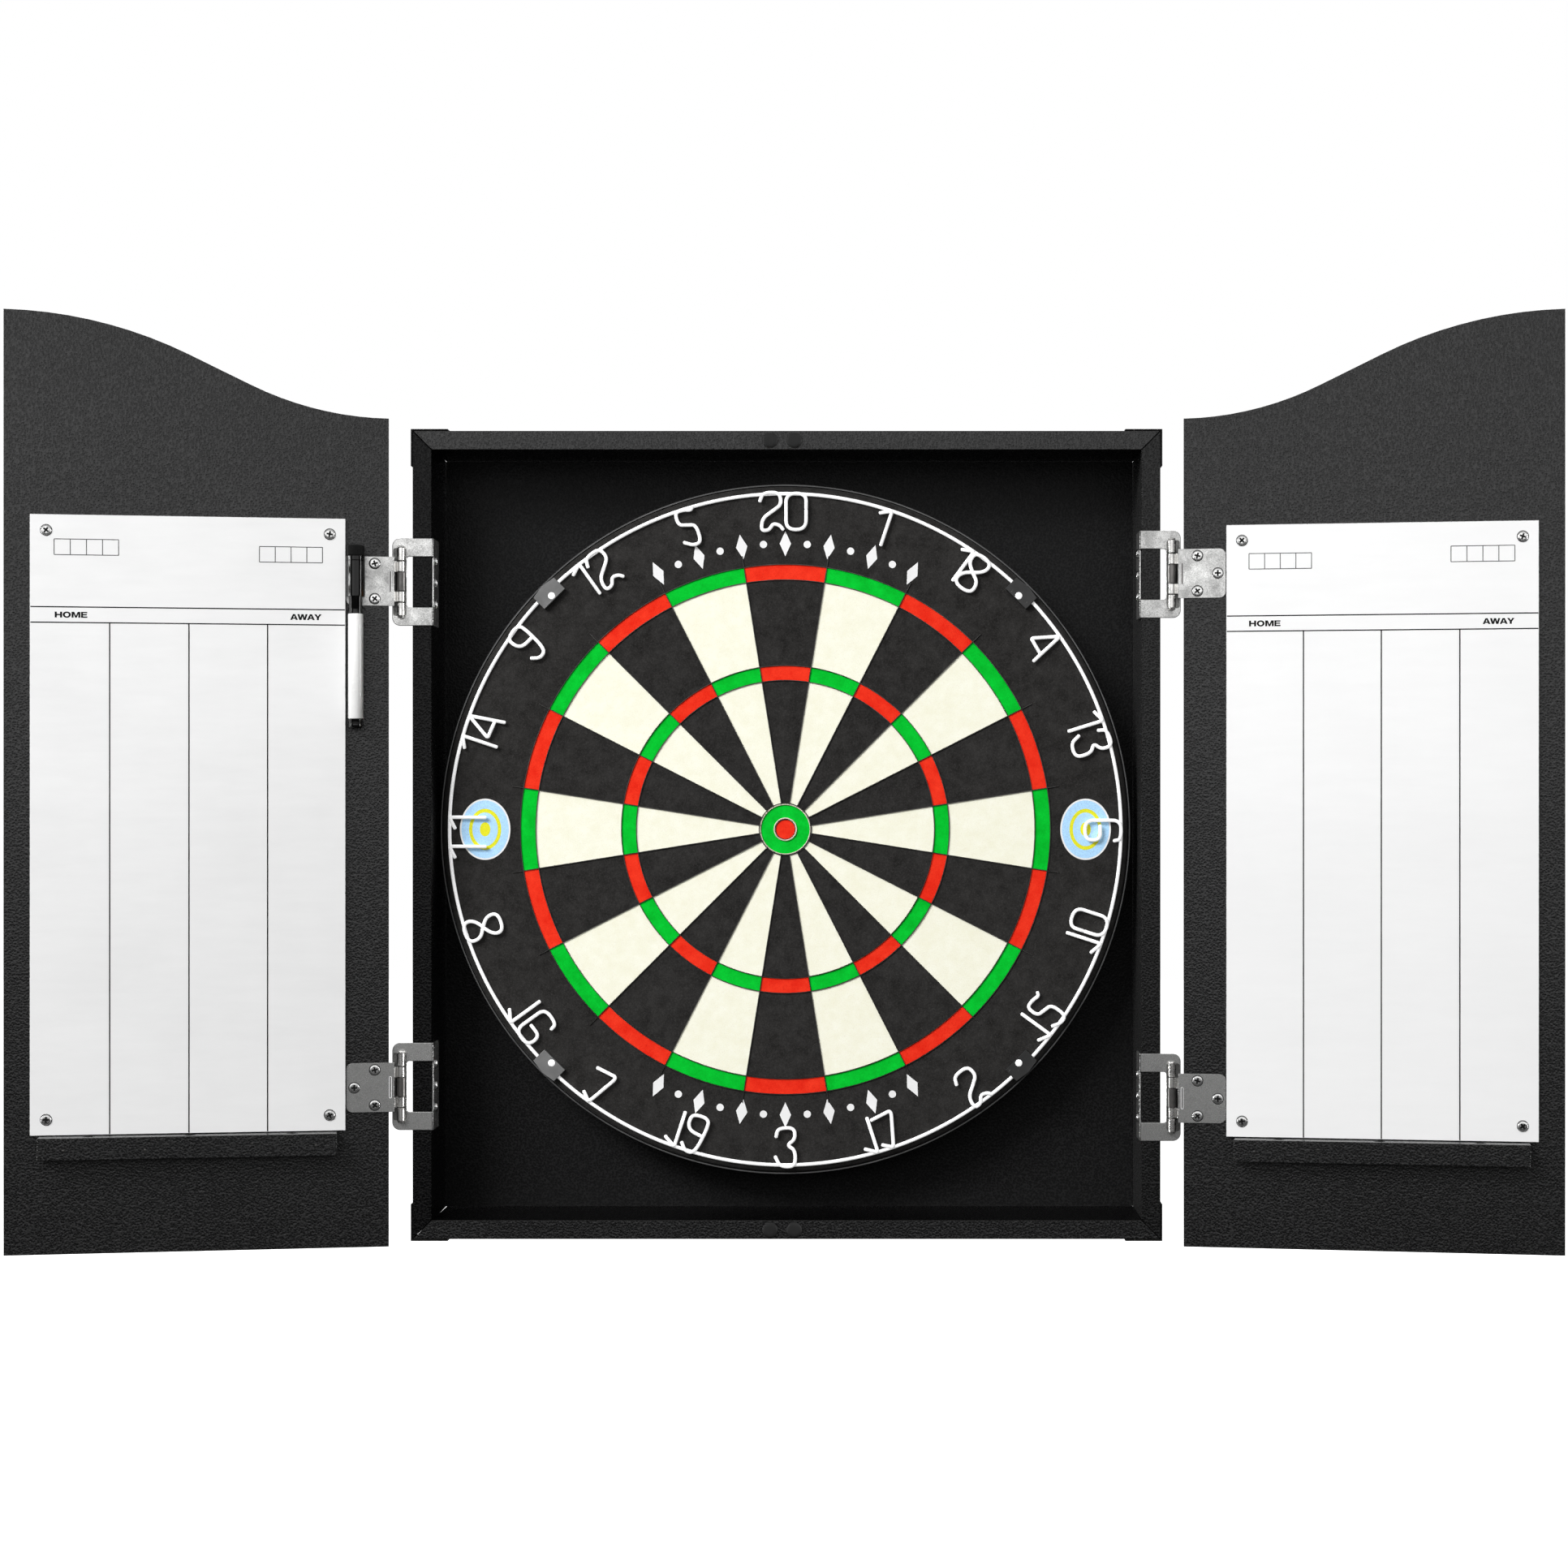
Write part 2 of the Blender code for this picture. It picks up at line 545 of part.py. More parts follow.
def build_marker(door_axis):
    """A dry-wipe marker hanging from its magnetic cap. Its barrel pulls down out of the cap."""
    place = door_point(SIDES["left"], MARKER_EDGE, MARKER_OUT, MARKER_BOTTOM)
    axis = axis_empty("marker_axis", place, door_axis)
    barrel_low = MARKER_PLUG
    grip_low = barrel_low + MARKER_BARREL
    cap_low = grip_low + MARKER_GRIP
    cap_high = cap_low + MARKER_CAP
    plug = [(0, 0), (3.6 * MM, 0), (4.4 * MM, 1 * MM), (4.4 * MM, MARKER_PLUG - GAP),
            (0, MARKER_PLUG - GAP)]
    piece("marker_end_plug", turned(plug, 20), "black_plastic", parent=axis)
    barrel = [(0, barrel_low), (MARKER_BARREL_RADIUS, barrel_low), (MARKER_BARREL_RADIUS, grip_low),
              (MARKER_GRIP_RADIUS, grip_low + 1 * MM), (MARKER_GRIP_RADIUS, cap_low + 8 * MM),
              (2.4 * MM, cap_low + 10 * MM), (2.4 * MM, cap_low + 15 * MM), (1 * MM, cap_low + 18 * MM),
              (0, cap_low + 18 * MM)]
    piece("marker_barrel", turned(barrel, 20), "white_plastic", parent=axis)
    cap = [(MARKER_CAP_BORE, cap_low), (MARKER_CAP_RADIUS, cap_low), (MARKER_CAP_RADIUS, cap_high),
           (0, cap_high), (0, cap_high - 3 * MM), (MARKER_CAP_BORE, cap_high - 3 * MM)]
    piece("marker_cap", turned(cap, 20), "black_plastic", parent=axis)
    eraser = [(0, cap_high + GAP), (5.6 * MM, cap_high + GAP), (5.6 * MM, cap_high + MARKER_ERASER - 1 * MM),
              (4.6 * MM, cap_high + MARKER_ERASER), (0, cap_high + MARKER_ERASER)]
    piece("marker_eraser", turned(eraser, 20), "felt", parent=axis)


# The dart board, modelled round its centre. Its face looks along -Y.


def build_board(axis):
    inner = BOARD_RADIUS - BAND - GAP
    sisal_back = -BOARD_BACK + BACKING + GAP
    face = -BOARD_FACE
    backing = disc(inner, -BOARD_BACK, -BOARD_BACK + BACKING, 64, "Y", SPIGOT_RADIUS + GAP)
    piece("board_backing", backing, "chipboard", parent=axis)
    bristle = [(0, sisal_back), (inner, sisal_back), (inner, face - BEVEL), (inner - BEVEL, face), (0, face)]
    piece("board_bristle", turned(bristle, 64, "Y"), "sisal", parent=axis)
    band = disc(BOARD_RADIUS, -BOARD_BACK, face - BEVEL, 64, "Y", BOARD_RADIUS - BAND)
    piece("board_band", band, "black_steel", parent=axis)
    head, head_thickness = SPIGOT_HEAD
    head_front = BACK_PANEL + BRACKET_RISE - GAP
    spigot = [(0, head_front - head_thickness), (head, head_front - head_thickness), (head, head_front),
              (SPIGOT_RADIUS, head_front), (SPIGOT_RADIUS, sisal_back - 2 * GAP), (0, sisal_back - 2 * GAP)]
    piece("board_spigot", turned(spigot, 20, "Y"), "zinc", parent=axis)


def polar(radius, angle):
    """A point on the board's face, the angle running clockwise from the top as seen from the front."""
    return Vector((radius * math.sin(angle), 0, radius * math.cos(angle)))


def spider_mesh():
    """The flat wire web, laid out as bands round the board and spokes between the sectors."""
    half, sector = SPIDER_WIRE / 2, math.tau / SECTORS
    rings = [BULL_RADIUS, *TREBLE_RADII, *DOUBLE_RADII]
    edges = sorted([radius - half for radius in rings] + [radius + half for radius in rings])
    edges.append(SPIDER_REACH)
    work = bmesh.new()
    columns = []
    for spoke in range(SECTORS):
        angle = (spoke + 0.5) * sector
        for sign in (-1, 1):
            columns.append([work.verts.new(polar(r, angle + sign * half / r)) for r in edges])
        columns.append([work.verts.new(polar(r, angle + sector / 2)) for r in edges])
    for i, column in enumerate(columns):
        following = columns[(i + 1) % len(columns)]
        is_spoke = i % 3 == 0
        for k in range(len(edges) - 1):
            if is_spoke or k % 2 == 0 and k < len(edges) - 2:
                work.faces.new((column[k], column[k + 1], following[k + 1], following[k]))
    loose = [vert for vert in work.verts if not vert.link_faces]
    bmesh.ops.delete(work, geom=loose, context="VERTS")
    top = list(work.faces)
    moved = bmesh.ops.extrude_face_region(work, geom=top)["geom"]
    bmesh.ops.translate(work, vec=(0, -SPIDER_HEIGHT, 0),
                        verts=[v for v in moved if isinstance(v, bmesh.types.BMVert)])
    return mesh_of(work)


# Each digit as one bent wire, in widths across from its middle and heights up from its foot.
DIGITS = {
    0: [(0, 0), (-0.5, 0.3), (-0.5, 0.7), (0, 1), (0.5, 0.7), (0.5, 0.3), (0, 0)],
    1: [(0, 0), (0.15, 1), (-0.25, 0.9)],
    2: [(-0.45, 0.85), (0, 1), (0.35, 0.7), (-0.4, 0.02), (0.5, 0.08)],
    3: [(-0.5, 0.98), (0.35, 0.8), (0, 0.5), (0.4, 0.2), (-0.45, 0.02)],
    4: [(0.2, 0), (0.25, 1), (-0.5, 0.3), (0.22, 0.25)],
    5: [(0.4, 1), (-0.35, 0.95), (-0.35, 0.55), (0.4, 0.42), (0.3, 0.06), (-0.4, 0.02)],
    6: [(0.35, 1), (-0.4, 0.62), (-0.35, 0.05), (0.35, 0.03), (0.35, 0.4), (-0.4, 0.47)],
    7: [(-0.5, 0.9), (0.4, 1), (-0.1, 0)],
    8: [(-0.4, 0.03), (0.4, 0), (-0.35, 0.96), (0.35, 1), (-0.4, 0.03)],
    9: [(-0.35, 0), (0.4, 0.38), (0.35, 0.95), (-0.35, 0.97), (-0.35, 0.6), (0.4, 0.53)],
}


def rod(start, end, radius):
    """A straight three-sided stretch of wire that overruns its ends a little, to join its neighbours."""
    work = bmesh.new()
    along = end - start
    bmesh.ops.create_cone(work, cap_ends=True, segments=3, radius1=radius, radius2=radius,
                          depth=along.length + radius)
    turn = Vector((0, 0, 1)).rotation_difference(along).to_matrix().to_4x4()
    place = Matrix.Translation((start + end) / 2) @ turn @ Matrix.Rotation(0.3, 4, "Z")
    bmesh.ops.transform(work, matrix=place, verts=work.verts)
    return mesh_of(work)


def number_wires(index, number):
    """The bent wires of one number, one for each digit, with its outer edge on the ring."""
    upright = UPRIGHT_FROM <= index <= UPRIGHT_TO
    angle = index * math.tau / SECTORS
    digits = [int(letter) for letter in str(number)]
    foot = RING_RADIUS - DIGIT_HEIGHT
    wires = []
    for place, digit in enumerate(digits):
        middle = (place - (len(digits) - 1) / 2) * DIGIT_PITCH
        points = []
        for across, up in DIGITS[digit]:
            x, y = middle + across * DIGIT_WIDTH, up * DIGIT_HEIGHT
            if upright:
                x, y = -x, DIGIT_HEIGHT - y
            points.append(Matrix.Rotation(angle, 3, "Y") @ Vector((x, 0, foot + y)))
        wires.append(points)
    return wires


def number_ring_mesh():
    """The ring with its numbers. Neighbouring stretches of wire differ a little in thickness, so that
    no two of their faces lie in one plane."""
    result = turned([(RING_RADIUS + WIRE_RADIUS * math.cos(math.tau * i / 5 + 0.2),
                      WIRE_RADIUS * math.sin(math.tau * i / 5 + 0.2)) for i in range(5)], 60, "Y")
    for index, number in enumerate(NUMBERS):
        for points in number_wires(index, number):
            for k, (start, end) in enumerate(zip(points, points[1:])):
                radius = WIRE_RADIUS * (0.86 + 0.05 * (k % 3))
                result = carved(result, added=[rod(start, end, radius)], solver="MANIFOLD")
    return result


def build_clips(axis):
    inner, outer = CLIP_RADII
    outline = [(-CLIP_HALF, inner), (CLIP_HALF, inner), (CLIP_HALF, outer), (0, outer + CLIP_PEAK),
               (-CLIP_HALF, outer)]
    front = BOARD_FACE - GAP
    body = plate(outline, front, front - CLIP_HEIGHT)
    groove = block((-2 * CLIP_HALF, front + GAP, CLIP_GROOVE[0]),
                   (2 * CLIP_HALF, front - 2 * WIRE_RADIUS - GAP, CLIP_GROOVE[1]))
    mesh = carved(body, removed=[groove])
    places = (("top_right", 45), ("bottom_right", 135), ("bottom_left", 225), ("top_left", 315))
    for label, degrees in places:
        turn = (0, math.radians(degrees), 0)
        piece(f"ring_clip_{label}", mesh, "grey_steel", parent=axis, rotation=turn)


def main():
    clear_scene()
    build_box()
    build_keyhole_plates()
    build_corner_guards()
    build_buffer_pads()
    build_board_bracket()
    door_axes = {}
    for name, side in SIDES.items():
        pin = (side * (BOX_WIDTH / 2 + PIN_OUT), FRONT - PIN_FORWARD, 0)
        door_axes[name] = axis_empty(f"door_axis_{name}", pin)
        build_door(name, side, door_axes[name])
    build_hinges(door_axes)
    build_marker(door_axes["left"])
    board_axis = axis_empty("board_axis", (BOARD_X, 0, BOARD_Z))
    build_board(board_axis)
    piece("spider", spider_mesh(), "spider_steel", (0, BOARD_FACE - GAP, 0), board_axis)
    piece("number_ring", number_ring_mesh(), "white_wire",
          (0, BOARD_FACE - GAP - WIRE_RADIUS, 0), board_axis)
    build_clips(board_axis)
    for name, side in SIDES.items():
        door_axes[name].rotation_euler.z = side * DOOR_OPEN


main()
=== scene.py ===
"""Looks for the dart board cabinet: materials, fine pieces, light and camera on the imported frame."""

import math

import bmesh
import bpy
from mathutils import Matrix, Vector


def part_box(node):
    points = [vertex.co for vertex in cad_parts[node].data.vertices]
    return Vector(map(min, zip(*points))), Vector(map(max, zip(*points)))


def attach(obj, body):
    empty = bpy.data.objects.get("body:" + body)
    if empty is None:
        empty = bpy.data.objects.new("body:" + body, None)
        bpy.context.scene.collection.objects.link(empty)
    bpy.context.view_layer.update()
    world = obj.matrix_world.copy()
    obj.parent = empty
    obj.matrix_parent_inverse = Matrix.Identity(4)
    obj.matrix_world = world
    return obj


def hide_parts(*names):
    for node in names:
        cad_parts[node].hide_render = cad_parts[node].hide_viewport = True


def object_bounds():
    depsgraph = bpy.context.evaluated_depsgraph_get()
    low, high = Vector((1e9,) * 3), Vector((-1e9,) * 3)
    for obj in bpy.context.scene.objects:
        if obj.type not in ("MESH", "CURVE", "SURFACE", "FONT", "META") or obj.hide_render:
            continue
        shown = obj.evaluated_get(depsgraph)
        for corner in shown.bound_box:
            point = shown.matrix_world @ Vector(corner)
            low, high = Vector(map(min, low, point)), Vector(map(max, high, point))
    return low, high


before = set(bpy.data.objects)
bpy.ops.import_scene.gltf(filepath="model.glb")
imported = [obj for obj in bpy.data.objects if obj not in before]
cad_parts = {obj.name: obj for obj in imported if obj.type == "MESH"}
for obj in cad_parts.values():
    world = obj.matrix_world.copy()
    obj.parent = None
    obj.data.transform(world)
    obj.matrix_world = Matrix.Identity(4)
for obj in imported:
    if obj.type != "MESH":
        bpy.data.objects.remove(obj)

CAD_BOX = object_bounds()
MM = 0.001
SIDES = {"left": -1, "right": 1}
ENDS = ("top", "bottom")
OUT_OF_FACE = Vector((0, 1, 0))

# The frame's dimensions that the fine pieces follow
BOX_HALF = (241 * MM, 260.5 * MM)
FRONT = -79 * MM
PIN_X, PIN_Y = 248 * MM, -82.7 * MM
HINGE_HEIGHTS = {"left": {"top": 163 * MM, "bottom": -162 * MM},
                 "right": {"top": 168 * MM, "bottom": -169 * MM}}
DOOR_OPEN = math.radians(170)
DOOR_EDGE, DOOR_FACE = 7.7 * MM, 1.4 * MM
SCOREBOARD_EDGE, SCOREBOARD_WIDTH, SCOREBOARD_HEIGHT = 27.5 * MM, 196 * MM, 391.5 * MM
SCOREBOARD_TOP = {"left": 202.5 * MM, "right": 198.5 * MM}
SCOREBOARD_FACE = 3.3 * MM
BOARD_X, BOARD_Z = -1.5 * MM, 3.5 * MM
BOARD_FACE, BOARD_BAND = -53 * MM, 225.5 * MM
SECTORS = 20
RING_RADIUS, RING_WIRE = 219 * MM, 1.15 * MM
# Clockwise from the top: each number, and how far its digits stand from its sector's middle, in mm
NUMBERS = ((20, -9, 7.1), (1, 2), (18, -7.1, 0.7), (4, 0), (13, -3.7, 7.7), (6, 0.7), (10, -7.3, 3.6),
           (15, -6.7, 3.4), (2, 0), (17, -7.5, 2.5), (3, 0), (19, -5, 6), (7, 0), (16, -3.3, 9), (8, 0),
           (11, -11.3, 7.7), (14, -7.1, 3.3), (9, 0), (12, -7.3, 4), (5, 0))
# The sectors whose numbers stand upright at the foot of the board
UPRIGHT = range(6, 15)


# Materials


class Look:
    """A node material. Its patterns are laid in the object's own metres."""

    def __init__(self, name, **settings):
        self.material = bpy.data.materials.new(name)
        self.material.use_nodes = True
        self.tree = self.material.node_tree
        self.shader = self.tree.nodes["Principled BSDF"]
        self.place = self.node("ShaderNodeTexCoord").outputs["Object"]
        for socket, value in settings.items():
            self.shader.inputs[socket.replace("_", " ")].default_value = value

    def node(self, kind, inputs=None, **properties):
        made = self.tree.nodes.new(kind)
        for key, value in properties.items():
            setattr(made, key, value)
        for key, value in (inputs or {}).items():
            self.feed(made.inputs[key], value)
        return made

    def feed(self, socket, value):
        if isinstance(value, bpy.types.NodeSocket):
            self.tree.links.new(value, socket)
        else:
            socket.default_value = value

    def stretched(self, scale):
        return self.node("ShaderNodeMapping", {"Vector": self.place, "Scale": scale}).outputs[0]

    def noise(self, scale, detail=2.0, rough=0.5, place=None):
        inputs = {"Vector": place or self.place, "Scale": scale, "Detail": detail, "Roughness": rough}
        return self.node("ShaderNodeTexNoise", inputs).outputs["Fac"]

    def cells(self, scale, feature="F1", place=None):
        found = self.node("ShaderNodeTexVoronoi", {"Vector": place or self.place, "Scale": scale},
                          feature=feature)
        return found.outputs["Distance"]

    def spread(self, value, low, high, to_low=0.0, to_high=1.0):
        """The value's range low..high taken to to_low..to_high."""
        inputs = {0: value, 1: low, 2: high, 3: to_low, 4: to_high}
        return self.node("ShaderNodeMapRange", inputs).outputs[0]

    def mottle(self, *patterns):
        """Two patterns added up; each is (value, low, high, weight)."""
        return self.combine("ADD", *(self.spread(value, low, high, 0.0, weight)
                                     for value, low, high, weight in patterns))

    def combine(self, operation, a, b):
        return self.node("ShaderNodeMath", {0: a, 1: b}, operation=operation).outputs[0]

    def blend(self, factor, a, b):
        mix = self.node("ShaderNodeMix", data_type="RGBA")
        self.feed(mix.inputs[0], factor)
        for socket, colour in ((6, a), (7, b)):
            value = colour if isinstance(colour, bpy.types.NodeSocket) else (*colour, 1)
            self.feed(mix.inputs[socket], value)
        return mix.outputs[2]

    def colour(self, value):
        self.feed(self.shader.inputs["Base Color"], value)

    def roughness(self, *spread):
        """Roughness that follows a pattern; the arguments are those of spread()."""
        self.feed(self.shader.inputs["Roughness"], self.spread(*spread))

    def bump(self, *layers):
        """Each layer is (height, strength, distance)."""
        normal = None
        for height, strength, distance in layers:
            inputs = {"Height": height, "Strength": strength, "Distance": distance}
            if normal:
                inputs["Normal"] = normal
            normal = self.node("ShaderNodeBump", inputs).outputs[0]
        self.feed(self.shader.inputs["Normal"], normal)


def film(name, dark, light, sheen, grain=1.0):
    """Leather-grained black film over fibreboard."""
    look = Look(name, Specular_IOR_Level=sheen)
    pebble = look.cells(740)
    crease = look.cells(560, "DISTANCE_TO_EDGE")
    fine = look.noise(1500, 3, 0.65)
    broad = look.noise(9, 4)
    # Light specks: partly the film's grain, partly painted glints.
    speck_and_glint = look.spread(look.combine("MULTIPLY", fine, pebble), 0.20, 0.36)
    shade = look.combine("MULTIPLY", speck_and_glint, look.spread(broad, 0.25, 0.75, 0.7, 1.3))
    look.colour(look.blend(shade, dark, light))
    look.roughness(look.noise(700, 2), 0.3, 0.7, 0.20, 0.30)
    look.bump((look.spread(crease, 0.0, 0.2), 0.25 * grain, 0.00005), (pebble, 1.0 * grain, 0.00017),
              (fine, 1.0 * grain, 0.00010))
    return look.material


def painted(name, dark, light, rough, chips=0.0, metallic=0.0, sheen=0.5):
    """Paint or oxide on steel, a little chipped where chips is over 0."""
    look = Look(name, Metallic=metallic, Specular_IOR_Level=sheen)
    broad, fine = look.noise(60, 4), look.noise(1500, 2)
    base = look.blend(look.spread(broad, 0.3, 0.7), dark, light)
    if chips:
        worn = look.spread(look.noise(420, 5, 0.7), 0.66 - chips, 0.72)
        base = look.blend(worn, base, (0.20, 0.19, 0.18))
    look.colour(base)
    look.roughness(fine, 0.25, 0.75, rough - 0.08, rough + 0.1)
    look.bump((fine, 0.25, 0.00004), (broad, 0.08, 0.0001))
    return look.material


def metal(name, dark, light, rough, speckle=1.0, brushed=None, metallic=1.0):
    """Plated steel with a fine speckle, or brushed along one axis; dull plating is less metallic."""
    look = Look(name, Metallic=metallic)
    place = look.stretched(brushed) if brushed else None
    fine = look.noise(1700, 4, 0.65, place)
    stain = look.noise(110, 5, 0.6)
    shade = look.mottle((fine, 0.35, 0.65, 0.6 * speckle), (stain, 0.35, 0.7, 0.55))
    look.colour(look.blend(shade, light, dark))
    look.roughness(look.combine("ADD", fine, stain), 0.7, 1.3, rough - 0.07, rough + 0.14)
    look.bump((fine, 0.18 * speckle, 0.00005), (stain, 0.10, 0.00015))
    return look.material


def plastic(name, dark, light, rough, grain=0.12, coat=0.0, sheen=0.5, painted_glow=0.0):
    """Moulded plastic, rubber or enamel. White enamel may be given a faint glow: painted light that keeps it
    evenly bright.
    """
    look = Look(name, Coat_Weight=coat, Coat_Roughness=0.06, Specular_IOR_Level=sheen,
                Emission_Strength=painted_glow, Emission_Color=(*light, 1))
    broad, fine = look.noise(35, 3), look.noise(1900, 2)
    look.colour(look.blend(look.spread(broad, 0.3, 0.7), dark, light))
    look.roughness(look.noise(160, 4), 0.3, 0.7, rough - 0.04, rough + 0.08)
    look.bump((fine, grain, 0.00003))
    return look.material


def sisal(name, dark, light, fleck):
    """Compressed fibre ends, standing on the board's face."""
    look = Look(name, Specular_IOR_Level=0.12, Sheen_Weight=0.04)
    fibre = look.cells(2100)
    tuft = look.noise(900, 4, 0.7)
    cloud = look.noise(120, 5, 0.65)
    base = look.blend(look.mottle((tuft, 0.3, 0.7, 0.45), (cloud, 0.3, 0.7, 0.55)), dark, light)
    flecks = look.spread(look.combine("MULTIPLY", fibre, tuft), 0.30, 0.48, 0.0, 0.5)
    look.colour(look.blend(flecks, base, fleck))
    look.roughness(tuft, 0.3, 0.7, 0.78, 0.96)
    look.bump((fibre, 0.35, 0.00012), (tuft, 0.25, 0.0002))
    return look.material


def gloss_board(name, tone, shade):
    """Dry-wipe board: a clear gloss with faint wiping streaks and ghosted ink."""
    look = Look(name, Coat_Weight=0.35, Coat_Roughness=0.05)
    streak = look.noise(26, 5, 0.6, look.stretched((1, 1, 5)))
    ghost = look.noise(14, 4)
    mottle = look.mottle((streak, 0.35, 0.75, 0.5), (ghost, 0.4, 0.7, 0.5))
    look.colour(look.blend(mottle, tone, shade))
    look.roughness(streak, 0.3, 0.7, 0.16, 0.27)
    look.bump((look.noise(480, 2), 0.03, 0.00005))
    return look.material


def ink(name, tone):
    look = Look(name, Specular_IOR_Level=0.1)
    fine = look.noise(2400, 3)
    look.colour(look.blend(look.spread(fine, 0.3, 0.7), tone, [v * 1.5 + 0.004 for v in tone]))
    look.roughness(fine, 0.3, 0.7, 0.3, 0.45)
    look.bump((fine, 0.1, 0.00002))
    return look.material


def chipboard(name):
    look = Look(name)
    flake = look.cells(420, place=look.stretched((1, 1, 1.7)))
    tone = look.blend(look.spread(flake, 0.1, 0.8), (0.20, 0.12, 0.055), (0.46, 0.33, 0.18))
    look.colour(look.blend(look.spread(look.noise(900, 4), 0.45, 0.75), tone, (0.10, 0.06, 0.03)))
    look.roughness(flake, 0.0, 1.0, 0.75, 0.95)
    look.bump((flake, 0.5, 0.0003))
    return look.material


def hardboard(name):
    """The brown rear of pressed hardboard, with its mesh imprint."""
    look = Look(name, Specular_IOR_Level=0.3)
    imprint, fibre, stain = look.cells(520), look.noise(900, 4, 0.7), look.noise(14, 4, 0.6)
    tone = look.blend(look.spread(stain, 0.3, 0.7), (0.15, 0.075, 0.034), (0.23, 0.125, 0.060))
    look.colour(look.blend(look.spread(fibre, 0.45, 0.75), tone, (0.075, 0.036, 0.017)))
    look.roughness(fibre, 0.2, 0.8, 0.55, 0.8)
    look.bump((imprint, 0.7, 0.0003), (fibre, 0.3, 0.0001))
    return look.material


def neutral(value):
    return (value, value, value)


